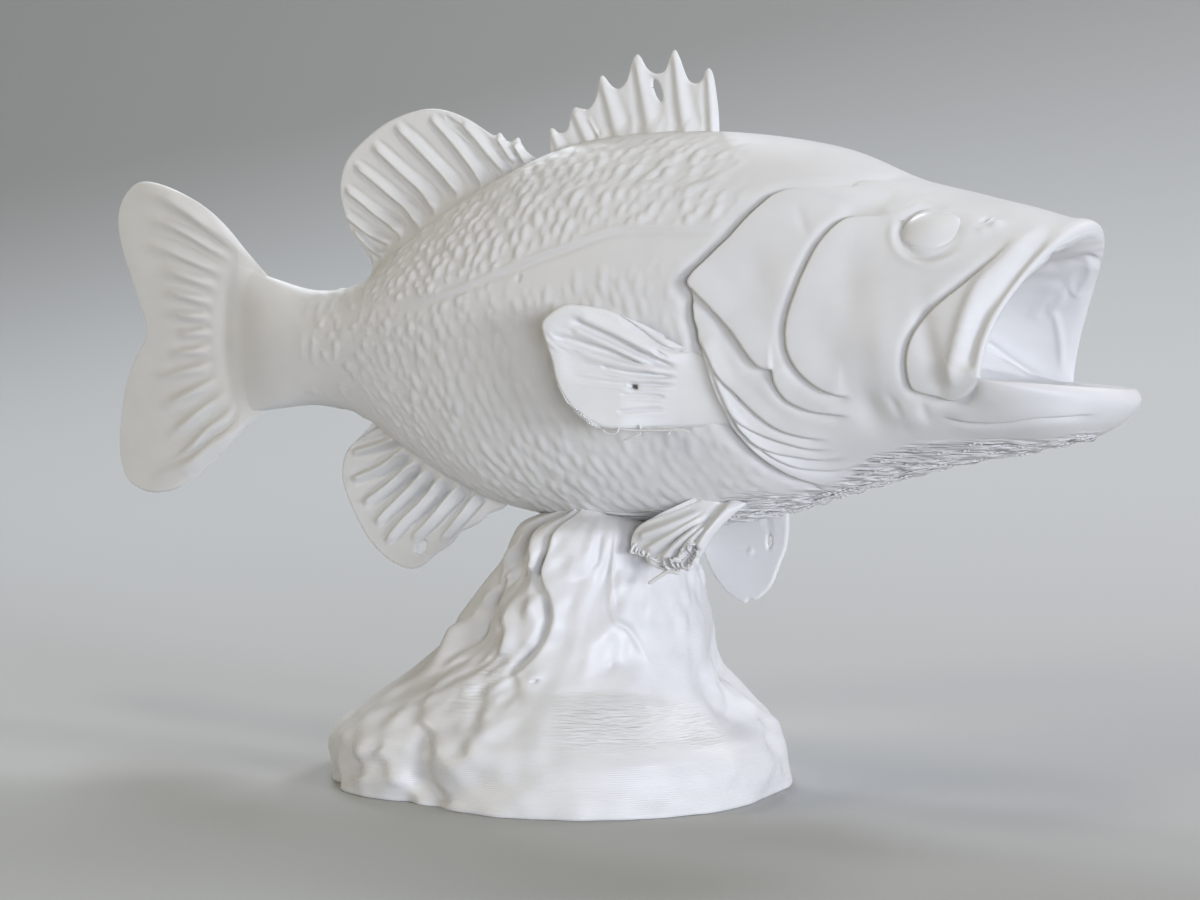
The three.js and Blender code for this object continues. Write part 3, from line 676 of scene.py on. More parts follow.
def eyeRelief(s, w, h):
    # a disk that stands out of the face behind and is flush with it ahead, a groove and a ring round
    # its rear half, and a socket for the ball
    spec = eyeSpec
    away = np.stack([s, w, h], -1) - np.array(spec["centre"])
    far = np.maximum(np.linalg.norm(away, axis=-1), 1e-6)
    aheadOf, above = away[..., 0] / far, away[..., 2] / far * spec["flatten"]
    rear = blendStep(*spec["rear"], -aheadOf - spec["rearTilt"] * above)
    behind, below = spec["lowTilt"]
    low = blendStep(*spec["low"], -behind * aheadOf - below * above)
    beyond = far - spec["grooveRadius"]
    hollow = bell(beyond, np.where(beyond > 0, spec["grooveOuter"], spec["grooveInner"]))
    disk = 1 - blendStep(spec["diskInner"], spec["diskOuter"], far)
    socket = 1 - blendStep(spec["socketInner"], spec["socketOuter"], far)
    return (spec["diskRise"] * disk * lerp(spec["diskFront"], 1, rear)
            - spec["grooveDepth"] * hollow * rear
            + spec["ringRise"] * bell(far - spec["ringRadius"], spec["ringWidth"]) * low
            - spec["socketDepth"] * socket)


def headRelief(points, angle, ahead):
    # the sum of the gill cover's lip, the steps, lines and swells, and the eye's surround
    spec = headSpec
    s, w, h = points[..., 0], np.abs(points[..., 1]), points[..., 2]
    frill = blendStep(*spec["frill"], np.degrees(foldedAngle(angle)))
    rise = lerp(spec["coverRise"], spec["frillRise"], frill) * openShare(angle)
    reach = lerp(spec["coverReach"], spec["frillReach"], frill)
    relief = rise * (1 - blendStep(0, 1, ahead / reach))
    flank = blendStep(*spec["flank"], w)
    for shape, rows in ((stepRelief, headSteps), (lineRelief, headLines), (swellRelief, headSwells)):
        for row in rows:
            relief += flank * shape(row, s, h)
    relief += spec["ripple"] * smoothNoise(points, spec["rippleSize"], 15)
    return relief + eyeRelief(s, w, h) + overhangRelief(points)


def makeHead():
    # rings from inside the trunk, over the gill edge and the head to the lips, then back down the
    # mouth. Rows keep even lengths from the gill edge, so the edge is a line of the grid
    spec = headSpec
    angle = evenAngles(spec["columns"], spec["sideWeight"])
    folded = np.degrees(foldedAngle(angle))
    start = lengthOf(seamStation(angle))
    ragged = smoothNoise(np.stack([folded * 0.3, angle * 0, angle * 0], -1), 0.5, 3)
    first, last = spec["ragged"]
    start += spec["frillJitter"] * ragged * blendStep(*first, folded) * (1 - blendStep(*last, folded))
    rim = lengthOf(skinShape["rim"])
    share = openShare(angle)
    tuck = {name: np.array(spec[name])[:, None] for name in ("backNape", "backGill", "inNape", "inGill")}
    back = -lerp(tuck["backNape"], tuck["backGill"], share)
    sunk = lerp(tuck["inNape"], tuck["inGill"], share)
    ahead = np.linspace(0, 1, spec["rows"])[:, None] * (rim - start)
    outer = skinAt(stationOf(start + ahead), angle)
    normals = gridNormals(outer)
    relief = headRelief(outer, angle, ahead) * blendStep(0, spec["lipFade"], rim - start - ahead)
    tucked = skinAt(stationOf(start + back), angle) + normals[0] * (relief[0] - sunk)[..., None]
    outer = np.concatenate([tucked, outer + normals * relief[..., None]])
    depth = np.linspace(0, 1, spec["mouthRows"] + 1)[1:, None] ** spec["mouthEase"]
    mouth = skinAt(skinShape["rim"] + depth * np.ones(spec["columns"])
                   * (len(stations) - 1 - skinShape["rim"]), angle)
    mouth = mouth + gridNormals(mouth) * mouthRelief(mouth)[..., None]
    middle = np.array(spec["plug"])
    plug = np.stack([lerp(middle, outer[0], f) for f in spec["plugRings"]])
    gullet = np.array([stations[-1][1][0] - 0.3, 0.0, stations[-1][1][2]])
    corners, faces = closedRings(np.concatenate([plug, outer, mouth]), middle, gullet)
    threads = underside(corners)
    threads[-2 - mouth.shape[0] * mouth.shape[1]:] = 0
    return makePiece("bassHead", settle(corners), faces, bodyPlastic,
                     ("head", "lower_jaw", "gill_cover_right", "gill_cover_left",
                      "jaw_plate_right", "jaw_plate_left"), rough=threads)


# thin folds on the mouth's walls and the crease round its floor: rise, half width, points (s, h)
mouthLines = [
    (0.2, 0.3, [(49.4, 50.4), (48.6, 50.1), (47.9, 49.3), (47.3, 48.6), (46.5, 47.8), (46.0, 47.0)]),
    (0.22, 0.3, [(48.8, 50.4), (49.5, 50.2), (49.0, 49.0), (48.2, 48.2), (48.3, 47.0), (48.4, 45.3),
                 (48.4, 43.8), (48.3, 41.9)]),
    (0.18, 0.28, [(51.6, 52.1), (50.4, 50.5), (50.6, 49.6), (51.1, 50.1), (52.1, 51.1), (52.9, 52.3),
                  (53.3, 52.8)]),
    (-0.34, 0.36, [(40.6, 45.6), (42.3, 44.5), (43.9, 43.2), (46.5, 41.5)]),
    (0.2, 0.5, [(41.4, 44.4), (43.4, 42.9), (45.6, 41.5)]),
    (-0.2, 0.3, [(40.6, 42.6), (41.9, 42.5), (44.2, 41.9), (47.0, 41.3)]),
    (-0.3, 0.4, [(49.4, 51.6), (50.4, 52.1), (52.7, 52.6), (54.0, 53.0)]),
]


mouthSpec = dict(
    inside=(50, 54),            # stations over which the folds fade towards the lips
    foldRise=0.22, folds=[((9, 4, 4), 11, 1), ((4, 3, 1.6), 12, 0.3)],
    roof=(51.2, 52.4), roofFrom=(49, 52), roofFolds=[((1.6, 2.5, 0.5), 13, 0.1)],
    walls=(1.0, 3.0),           # distance from the middle over which the lines start
)


def mouthRelief(points):
    # soft folds that run back along the mouth's walls, deeper inside than at the lips
    spec = mouthSpec
    s, w, h = points[..., 0], points[..., 1], points[..., 2]
    inside = 1 - blendStep(*spec["inside"], s)
    roof = blendStep(*spec["roof"], h) * blendStep(*spec["roofFrom"], s)
    relief = (spec["foldRise"] * inside * noiseSum(points, spec["folds"])
              + roof * noiseSum(points, spec["roofFolds"]))
    for line in mouthLines:
        relief += lineRelief(line, s, h) * blendStep(*spec["walls"], np.abs(w))
    return relief


makeHead()


trunkSpec = dict(
    columns=384, rows=246, sideWeight=0.25,
    overlap=3.2,            # how far the trunk runs on under the head
    gillHollow=0.7, gillHollowWidth=1.3, gillCrease=0.25, gillCreaseWidth=0.45,
    hollowSlope=0.3,        # how fast the skin sinks on under the gill cover
    dip=0.06,               # how it dips under the head elsewhere: x the square of the distance
    plug=(30.0, 0.0, 45.0),  # closes its front inside the head
    flank=(1, 2.5),         # distance from the middle over which its lines start
    scaleLength=1.62,       # from one scale to the next along the body
    scaleRows=36,           # staggered rows of scales round one flank
    rowHeight=1.36,         # of one of those rows where the body is tallest
    scaleRise=0.24,
    # a scale's ellipse: its half length behind and ahead, half height and roundness
    behind=0.46, ahead=0.6, tall=0.94, roundness=1.2,
    # how much each scale differs: its place along and across, its slant, size and rise
    vary=(0.55, 0.8, 0.5, 0.5, 0.8), usualRise=0.85,
    girth=[(-40, 0.7), (-28, 0.85), (-14, 1), (0, 1), (60, 1)],     # s and size of the scales
    rowShift=0.05, levelRow=0.4,    # rows run back from this share of the flank
    # slant in degrees below the line, above it, and more of it over these stations
    slantBelow=-10, slantAbove=4, slantMore=12, slantOver=(4, 20),
    lumps=(0.9, 1.2, 1.0), lumpRise=0.8, lumpsFrom=(-34, -24),      # where the scales run out
)
# where the scales show: heights over the lateral line, or under it, and stations
scalePlaces = dict(
    line=(-2, 2), above=(0.1, 0.8), below=(0.2, 1.5), belowShare=0.62,
    bare=(-6, 2), bareUnder=(2.0, 4.6),             # ahead of here none until this far under the line
    front=(6, 18), frontLess=0.3,
    tail=(-25, -13), low=(36, 30), lowBack=(2, -10), lowLess=0.35,
    nape=(20, 27), napeSlope=0.35, napeHeight=56,   # they end on a slant at the nape
    back=(0.12, 0.45),                              # ring angles from the top
)
lateralLine = dict(rise=0.13, width=0.26, groove=0.1, grooveAway=0.5, grooveWidth=0.3, points=[
    (-14.0, 47.4), (-8.7, 48.7), (-4.4, 50.2), (0.4, 51.9), (5.1, 53.4), (10.6, 55.2), (15.0, 55.4),
    (20.0, 55.2), (23.4, 55.2)])
# a soft hollow over the gill cover and a pit: rise, half width, points
trunkLines = [
    (-0.22, 0.5, [(25.8, 58.2), (27.4, 58.8), (30.9, 59.25), (35.2, 59.6), (38.6, 60.2)]),
    (-0.3, 0.22, [(0.1, 50.4), (0.7, 50.4)]),
]


def scaleRelief(points, angle):
    # staggered scales: (1 - d^2)^roundness over a jittered ellipse. They slant forward above the
    # lateral line and back below it, and shrink with the girth towards the tail
    spec, where = trunkSpec, scalePlaces
    s, h = points[..., 0], points[..., 2]
    folded = foldedAngle(angle)
    knots, sizes = np.array(spec["girth"]).T
    girth = np.interp(s, knots, sizes)
    fine = np.linspace(-42, 62, 1041)   # s, every 0.1 mm
    counted = np.cumsum(0.1 / (spec["scaleLength"] * np.interp(fine, knots, sizes)))
    line = np.interp(s, *np.array(lateralLine["points"]).T)
    above = blendStep(*where["line"], h - line)
    y = np.broadcast_to(folded / np.pi * spec["scaleRows"], s.shape)
    x = np.interp(s, fine, counted) + spec["rowShift"] * np.abs(y - spec["levelRow"] * spec["scaleRows"])
    slant = spec["slantAbove"] + spec["slantMore"] * blendStep(*spec["slantOver"], s)
    lean = np.tan(np.radians(lerp(spec["slantBelow"], slant, above)))
    row = np.floor(y)
    side = np.broadcast_to((angle > np.pi) * 97, s.shape)
    height = np.zeros(s.shape)
    for dj in (-2, -1, 0, 1, 2):
        j = row + dj
        shift = 0.5 * (j % 2)
        for di in (-1, 0, 1):
            i = np.floor(x - shift) + di
            cell = np.stack([i, j, side], -1)
            chance = [cornerValue(cell, seed) - 0.5 for seed in (21, 22, 23, 24)]
            dx = (x - shift - i - 0.5 - spec["vary"][0] * chance[0]) * spec["scaleLength"]
            dy = (y - j - 0.5 - spec["vary"][1] * chance[1]) * spec["rowHeight"]
            dx = dx + (lean + spec["vary"][2] * chance[2]) * dy
            reach = 1 + spec["vary"][3] * chance[3]
            half = np.where(dx < 0, spec["behind"], spec["ahead"])
            d2 = (dx / half / reach) ** 2 + (dy / spec["tall"] / reach) ** 2
            rise = spec["usualRise"] + spec["vary"][4] * chance[3]
            height = np.maximum(height, rise * np.maximum(1 - d2, 0) ** spec["roundness"])
    smooth = 1 - blendStep(*where["bare"], s) * (1 - blendStep(*where["bareUnder"], line - h))
    below = (where["belowShare"] * smooth * blendStep(*where["below"], line - h)
             * (1 - where["frontLess"] * blendStep(*where["front"], s)))
    flank = np.where(h > line, blendStep(*where["above"], h - line), below)
    low = blendStep(*where["low"], h) * blendStep(*where["lowBack"], s)
    fade = blendStep(*where["tail"], s) * (1 - where["lowLess"] * low)
    nape = 1 - blendStep(*where["nape"], s + where["napeSlope"] * (h - where["napeHeight"]))
    back = blendStep(*where["back"], folded)
    lumps = np.maximum(smoothNoise(points, spec["lumps"], 26), 0) * blendStep(*spec["lumpsFrom"], s)
    scales = flank * fade * nape * back * girth * height
    return spec["scaleRise"] * (scales + spec["lumpRise"] * (1 - fade) * lumps)


def lateralRelief(s, h):
    # a bell across the lateral line and a groove beside it
    spec = lateralLine
    d, along = nearCurve(spec["points"], s, h)
    groove = spec["groove"] * bell(d + spec["grooveAway"], spec["grooveWidth"])
    return fadeEnds(along, 0.12, 0.2) * (spec["rise"] * bell(d, spec["width"]) - groove)


def makeTrunk():
    # rings from the tail root to under the gill edge; ahead of it the skin dips below the head's
    spec = trunkSpec
    angle = evenAngles(spec["columns"], spec["sideWeight"])
    edge = lengthOf(seamStation(angle))
    v = np.linspace(0, 1, spec["rows"])[:, None]
    length = v * (edge + spec["overlap"])
    ahead = length - edge
    points = skinAt(stationOf(length), angle)
    normals = gridNormals(points)
    s, h = points[..., 0], points[..., 2]
    share = openShare(angle)
    hollow = np.where(ahead < 0, spec["gillHollow"] * bell(ahead, spec["gillHollowWidth"])
                      + spec["gillCrease"] * bell(ahead, spec["gillCreaseWidth"]),
                      spec["gillHollow"] + spec["gillCrease"] + spec["hollowSlope"] * ahead)
    dip = spec["dip"] * np.maximum(ahead, 0) ** 2
    relief = scaleRelief(points, angle) + lateralRelief(s, h) + overhangRelief(points)
    for line in trunkLines:
        relief += lineRelief(line, s, h) * blendStep(*spec["flank"], np.abs(points[..., 1]))
    points = points + normals * (relief - lerp(dip, hollow, share))[..., None]
    tail = np.array([stations[0][1][0] - 0.4, 0.0, stations[0][1][2]])
    corners, faces = closedRings(points, tail, np.array(spec["plug"]))
    return makePiece("bassTrunk", settle(corners), faces, bodyPlastic,
                     ("trunk", "tail_stalk"), rough=underside(corners))


makeTrunk()


strandSpec = dict(
    count=340, steps=30, sides=5,
    stations=(7.2, 15.4),        # where threads start along the throat and the lower jaw
    angles=(128, 178),           # ring angles in degrees that they run along
    lengths=(0.12, 0.6),         # in stations
    radii=(0.06, 0.14),          # mm
    covered=0.6,                 # how deep under the rough line a whole thread has to lie
    axisHeight=44.0,             # they stand out from a line along the body at this height
    out=0.04, sway=0.12, swaySize=(2.5, 2, 2), sag=0.2, sagSize=(3, 2, 2),
    beadLength=0.5, beadRise=0.3, smoothShare=0.4,
)


def makeStrands():
    # threads of filament that sagged from the throat: lines along the skin at a steady ring angle,
    # swaying a little, with a radius that tapers to both ends and beads at even lengths
    spec = strandSpec
    number = np.stack([np.arange(spec["count"])] * 3, -1)
    chance = [cornerValue(number, seed) for seed in (61, 62, 63, 64, 65)]
    u = np.linspace(0, 1, spec["steps"])[:, None]
    angle = np.radians(lerp(*spec["angles"], chance[0]))
    angle = np.where(chance[4] > 0.5, angle, 2 * np.pi - angle)
    paths = skinAt(lerp(*spec["stations"], chance[1]) + u * lerp(*spec["lengths"], chance[2]), angle)
    kept = underside(paths).min(0) > spec["covered"]
    paths, chance = paths[:, kept], chance[3][kept]
    out = paths * (0, 1, 1) - (0, 0, spec["axisHeight"])
    out /= np.linalg.norm(out, axis=-1, keepdims=True)
    sway = smoothNoise(paths + 9 * chance[:, None], spec["swaySize"], 66)
    paths = paths + out * (spec["out"] + spec["sway"] * sway)[..., None]
    paths[..., 2] += spec["sag"] * smoothNoise(paths, spec["sagSize"], 67)
    beads = np.sin(2 * np.pi * paths[..., 0] / spec["beadLength"]) * (chance > spec["smoothShare"])
    taper = np.sqrt(np.maximum(np.sin(np.pi * u), 0))
    radii = lerp(*spec["radii"], chance) * taper * (1 + spec["beadRise"] * beads)
    corners, faces = tubes(np.swapaxes(paths, 0, 1), radii.T, spec["sides"])
    return makePiece("throatThreads", settle(corners), faces, bodyPlastic)


makeStrands()


def makeEye(name, side):
    # an ellipsoid about its outward axis whose widest ring lies sunk in the face
    spec = eyeSpec
    centre = np.array(spec["centre"]) * (1, side, 1)
    out = np.array(spec["outward"]) * (1, side, 1)
    out /= np.linalg.norm(out)
    level = np.cross(out, [0, 0, 1.0])
    level /= np.linalg.norm(level)
    upright = np.cross(level, out)
    polar = np.linspace(0, np.pi, spec["rows"] + 2)[1:-1, None]
    turn = np.linspace(0, 2 * np.pi, spec["columns"], endpoint=False)
    flat = np.sin(polar)[..., None]
    rise = spec["swell"] * np.cos(polar) - spec["sunk"]
    ring = (spec["wide"] * np.cos(turn)[:, None] * level
            + spec["tall"] * np.sin(turn)[:, None] * upright)
    points = centre + out * rise[..., None] + flat * ring
    corners, faces = closedRings(points, centre + out * rise[0, 0], centre + out * rise[-1, 0])
    return makePiece(name, settle(corners), faces, eyePlastic, (name,))


makeEye("eye_right", 1)
makeEye("eye_left", -1)
print("fish body made")


# what all fins share, in mm and in shares of the fin's height (from root 0 to edge 1) and root
finShape = dict(
    slot="fin_plastic", side=1, sway=0, flare=0, holes=(),
    rayStart=0.2, rayEnd=0.14,      # share of a ray over which it rises and runs out
    rayWander=(3.1, 3.1, 1),        # size of its sway
    crowd=1.7,                      # draws the grid's rows towards the edge
    thinnest=0.12,                  # half thickness
    holeRim=0.3,
    rayGroove=0.3, grooveAway=1.9, grooveWidth=0.8,     # beside each ray, the last two x its width
    underRidge=0.25,                # a ridge this high hides the grooves of the next ray
    flareTall=0.45, flareRear=0.2, flareEnd=(0.6, 0.95),    # of the root, less at its rear end
)


def evenAlong(points, count, ease=0.5, fineness=60):
    # a curve through the points at even lengths, drawn towards both ends by ease
    line = curveThrough(points, np.linspace(0, 1, fineness * len(points)))
    step = np.linalg.norm(np.diff(line, axis=0), axis=1)
    total = np.concatenate([[0], np.cumsum(step)])
    u = np.linspace(0, 1, count)
    u = lerp(u, 0.5 - 0.5 * np.cos(np.pi * u), ease)
    return np.stack([np.interp(u * total[-1], total, line[:, k]) for k in range(line.shape[1])], -1)


def finGrid(spec):
    # straight lines from the root curve to the edge curve, closer together towards the edge:
    # v = 1 - (1 - x)^crowd
    root = evenAlong(spec["root"], spec["columns"])
    edge = evenAlong(spec["edge"], spec["columns"])
    v = 1 - (1 - np.linspace(0, 1, spec["rows"])) ** spec["crowd"]
    return lerp(root, edge, v[:, None, None]), v[:, None]


def openHoles(spec, s, h):
    # corners inside each slanted ellipse move out to its border; the share is 0 there and grows to 1
    # over the hole's rim
    share = np.ones(s.shape)
    inside = np.zeros(s.shape, bool)
    for centreS, centreH, long, short, tilt in spec["holes"]:
        c, n = np.cos(np.radians(tilt)), np.sin(np.radians(tilt))
        a = ((s - centreS) * c + (h - centreH) * n) / long
        b = ((h - centreH) * c - (s - centreS) * n) / short
        q = np.maximum(np.hypot(a, b), 1e-6)
        within = q < 1
        push = np.where(within, 1 / q, 1)
        s = np.where(within, centreS + long * a * push * c - short * b * push * n, s)
        h = np.where(within, centreH + long * a * push * n + short * b * push * c, h)
        e = np.clip((q - 1) * short / spec["holeRim"], 0, 1)
        share = np.where(within, 0, share * np.sqrt(1 - (1 - e) ** 2))
        inside |= within
    hidden = inside[:-1, :-1] & inside[1:, :-1] & inside[:-1, 1:] & inside[1:, 1:]
    return s, h, share, hidden


def rayRelief(spec, s, h):
    # each ray is a ridge (or a groove, where its rise is below 0) of a bell across its curve, with a
    # shallow groove on both sides; its rise and width run from the root's value to the tip's. The
    # highest ridge and the deepest groove at a place are added
    raised, sunk = np.zeros(s.shape), np.zeros(s.shape)
    wander = spec["sway"] * smoothNoise(np.stack([s, h, s * 0], -1), spec["rayWander"], 31)
    for points, rise, tipRise, width, tipWidth in spec["rays"]:
        d, along = nearCurve(points, s, h, 24)
        d = d + wander
        across = lerp(width, tipWidth, along)
        beside = bell(np.abs(d) - spec["grooveAway"] * across, spec["grooveWidth"] * across)
        shape = bell(d, across) - spec["rayGroove"] * beside
        ridge = (spec["rayStrength"] * lerp(rise, tipRise, along) * shape
                 * fadeEnds(along, spec["rayStart"], spec["rayEnd"]))
        raised, sunk = np.maximum(raised, ridge), np.minimum(sunk, ridge)
    return raised + sunk * (1 - blendStep(0, spec["underRidge"], raised))


def makeFin(name, spec, middle=None, lift=None):
    # two sheets that meet in a round border: half thickness x sqrt(1 - (1 - e / round)^2), where e is
    # the distance to the edge. middle gives the sheet's own w, and lift what stands out of it
    spec = dict(finShape, **spec)
    sheet, v = finGrid(spec)
    s, h = sheet[..., 0], sheet[..., 1]
    s, h, open_, hidden = openHoles(spec, s, h)
    e = np.abs(nearCurve(spec["edge"], s, h, 12 * len(spec["edge"]))[0])
    border = np.clip(e / spec["round"], 0, 1)
    share = np.sqrt(1 - (1 - border) ** 2) * open_
    share[-1] = 0
    half = lerp(spec["rootHalf"], spec["edgeHalf"], v) + rayRelief(spec, s, h)
    rearEnd = 1 - blendStep(*spec["flareEnd"], np.linspace(0, 1, spec["columns"]))
    flare = spec["flare"] * np.clip(1 - v / spec["flareTall"], 0, 1) ** 2
    half = half + flare * lerp(spec["flareRear"], 1, rearEnd)
    if lift:
        half = half + lift(s, h)
    half = np.maximum(half, spec["thinnest"]) * share
    w = middle(s, h) if middle else np.zeros(s.shape)
    near, far = (np.stack([s, spec["side"] * (w + k * half), h], -1) for k in (1, -1))
    corners, faces = twoSheets(near, far, hidden)
    # the root and the two ends of the grid are closed by strips between both sheets
    rows, columns = s.shape
    index = np.arange(rows * columns).reshape(rows, columns)
    loop = np.concatenate([index[::-1, 0], index[0, 1:], index[1:, -1]])
    strip = np.stack([loop[1:], loop[:-1], loop[:-1] + rows * columns, loop[1:] + rows * columns], -1)
    return makePiece(name, settle(corners), [faces[0], strip], finPlastic,
                     spec["replaces"], weld=True)


spinyDorsal = dict(
    replaces=("spiny_dorsal_fin",), columns=230, rows=96,
    rootHalf=0.46, edgeHalf=0.26, round=0.32, sway=0.06, flare=2.6,
    rayStrength=1.0,
    root=[(17.2, 62.6), (10, 62.6), (4, 61.4), (-1.2, 60.4)],
    edge=[
        (17.2, 63.0), (17.1, 66.4), (16.6, 69.6), (16.2, 70.6), (15.8, 70.5), (15.4, 69.6),
        (14.8, 69.2), (13.9, 69.6), (13.0, 71.6), (12.5, 72.5), (12.0, 71.9), (11.4, 70.5),
        (10.4, 70.2), (9.4, 70.8), (8.7, 71.9), (8.3, 72.1), (7.8, 71.4), (7.2, 69.6), (6.3, 68.8),
        (5.4, 69.2), (4.6, 70.1), (4.2, 69.8), (3.8, 68.0), (3.0, 66.9), (2.2, 66.9), (1.4, 67.0),
        (1.0, 66.4), (0.6, 64.9), (-0.3, 64.5), (-1.1, 65.0), (-1.4, 64.5), (-1.2, 60.8)],
    rays=[
        ([(16.8, 63.5), (16.2, 70.5)], 0.34, 0.22, 0.5, 0.36),
        ([(14.0, 63.6), (12.6, 72.4)], 0.44, 0.24, 0.7, 0.36),
        ([(10.5, 63.4), (8.4, 72.0)], 0.48, 0.26, 0.8, 0.4),
        ([(7.2, 62.8), (4.5, 70.0)], 0.48, 0.24, 0.8, 0.4),
        ([(3.9, 62.5), (1.4, 66.9)], 0.42, 0.22, 0.65, 0.38),
        ([(0.5, 61.9), (-1.1, 64.9)], 0.3, 0.2, 0.5, 0.34),
        ([(5.0, 63.2), (2.9, 66.2)], 0.2, 0.1, 0.25, 0.2)],
    holes=[(10.65, 68.6, 1.15, 0.38, 110)],
)

softDorsal = dict(
    replaces=("soft_dorsal_fin",), columns=250, rows=120,
    rootHalf=0.5, edgeHalf=0.34, round=0.42, sway=0.16, flare=3.0,
    rayStrength=2.5,
    root=[(-2.6, 59.6), (-8, 57.4), (-14, 53.9), (-19.5, 50.4), (-23.4, 48.4)],
    edge=[
        (-2.4, 61.6), (-3.6, 62.4), (-4.5, 63.1), (-5.0, 64.1), (-5.8, 63.7), (-6.6, 63.9),
        (-7.1, 64.6), (-8.0, 64.4), (-10.7, 65.9), (-13.6, 66.9), (-16.5, 67.0), (-20.3, 66.0),
        (-23.4, 64.3), (-26.2, 61.9), (-27.1, 58.8), (-26.0, 55.2), (-24.6, 53.3), (-22.9, 51.8),
        (-23.2, 49.6)],
    rays=[
        ([(-5.6, 60.4), (-11.6, 65.9)], 0.34, 0.16, 0.42, 0.34),
        ([(-7.8, 58.9), (-11.6, 63.2), (-15.6, 66.4)], 0.38, 0.18, 0.42, 0.34),
        ([(-10.6, 58.2), (-15.2, 62.2), (-19.9, 65.6)], 0.42, 0.2, 0.42, 0.34),
        ([(-13.1, 56.6), (-17.2, 59.9), (-22.9, 63.8)], 0.42, 0.2, 0.42, 0.34),
        ([(-14.9, 55.2), (-19.4, 58.2), (-25.2, 61.8)], 0.42, 0.2, 0.4, 0.32),
        ([(-17.6, 54.2), (-21.6, 56.4), (-26.5, 59.1)], 0.38, 0.18, 0.38, 0.3),
        ([(-19.4, 53.4), (-23.4, 54.7), (-26.5, 56.4)], 0.3, 0.16, 0.34, 0.28),
        ([(-20.6, 52.2), (-22.6, 52.9), (-25.4, 54.9)], 0.22, 0.1, 0.3, 0.26),
        ([(-9.7, 63.9), (-13.7, 66.3)], -0.2, -0.12, 0.3, 0.25),
        ([(-3.4, 60.8), (-5.2, 63.6)], 0.26, 0.2, 0.34, 0.26),
        ([(-5.0, 61.6), (-7.2, 64.3)], 0.26, 0.2, 0.34, 0.26)],
)

analFin = dict(
    replaces=("anal_fin",), columns=220, rows=110,
    rootHalf=0.5, edgeHalf=0.34, round=0.4, sway=0.12, flare=2.6,
    rayStrength=2.6,
    root=[(-6.2, 29.6), (-11, 31.6), (-16, 34.6), (-22.0, 37.4)],
    edge=[
        (-6.2, 27.4), (-7.0, 26.7), (-8.6, 26.1), (-9.6, 25.2), (-12.0, 24.0), (-13.0, 22.9),
        (-15.0, 21.6), (-17.0, 20.2), (-18.8, 20.0), (-21.2, 20.9), (-23.5, 22.7), (-25.4, 25.3),
        (-26.8, 28.1), (-27.0, 30.1), (-26.3, 31.9), (-24.6, 33.2), (-21.6, 34.6)],
    rays=[
        ([(-18.4, 33.6), (-22.0, 32.6), (-25.6, 31.6)], 0.34, 0.16, 0.42, 0.32),
        ([(-17.6, 32.4), (-21.6, 30.4), (-25.7, 28.6)], 0.4, 0.18, 0.44, 0.34),
        ([(-16.2, 31.4), (-20.2, 28.8), (-24.2, 26.2)], 0.42, 0.2, 0.44, 0.34),
        ([(-14.6, 30.8), (-18.8, 27.5), (-22.6, 24.2)], 0.42, 0.2, 0.44, 0.34),
        ([(-12.9, 30.1), (-17.2, 26.2), (-21.3, 22.3)], 0.42, 0.2, 0.44, 0.34),
        ([(-10.9, 29.3), (-14.6, 26.0), (-17.9, 22.8)], 0.4, 0.18, 0.42, 0.32),
        ([(-8.9, 28.6), (-14.3, 23.0)], 0.34, 0.16, 0.38, 0.3)],
    holes=[(-16.7, 22.3, 0.8, 0.5, 50)],
)


# the tail stalk's end on the tail fin: where it ends; its middle height and half height at some
# stations; how it fades behind that and grows ahead of it
stalkBase = dict(
    end=-40.5, middle=((-40.5, -36), (43.0, 42.6)), reach=((-46, -40.5, -36), (9.6, 7.65, 6.8)),
    fade=3.0, growth=0.29,
    leaf=0.52, thinner=0.13, thinFrom=1, thinOver=4, blend=0.09,    # the leaf thins inside the stalk
    inset=0.06, insetOver=(-0.2, 1.2),
    hollow=0.2, hollowAt=(-43.9, 43.5), hollowBend=0.03, hollowSize=(1.1, 6.5),
)


def fleshyBase(s, h):
    # what the stalk's own ellipse adds to the tail fin: its half width is exp(ahead / fade) where the
    # stalk has ended and 1 + growth x ahead inside it. A smooth maximum joins it to the leaf, and a
    # hollow lies where the rays start
    spec = stalkBase
    ahead = s - spec["end"]
    middle, reach = np.interp(s, *spec["middle"]), np.interp(s, *spec["reach"])
    ring = np.sqrt(1 - np.clip(np.abs(h - middle) / reach, 0, 1) ** 2)
    stalk = ring * np.where(ahead < 0, np.exp(np.minimum(ahead, 0) / spec["fade"]),
                            1 + spec["growth"] * ahead)
    leaf = spec["leaf"] - spec["thinner"] * np.clip(ahead + spec["thinFrom"], 0, spec["thinOver"])
    joined = 0.5 * (leaf + stalk + np.sqrt((stalk - leaf) ** 2 + spec["blend"]))
    hollowS, hollowH = spec["hollowAt"]
    bent = s - hollowS - spec["hollowBend"] * (h - hollowH) ** 2
    hollow = spec["hollow"] * spot(bent, h - hollowH, *spec["hollowSize"])
    return joined - spec["leaf"] - spec["inset"] * blendStep(*spec["insetOver"], ahead) - hollow


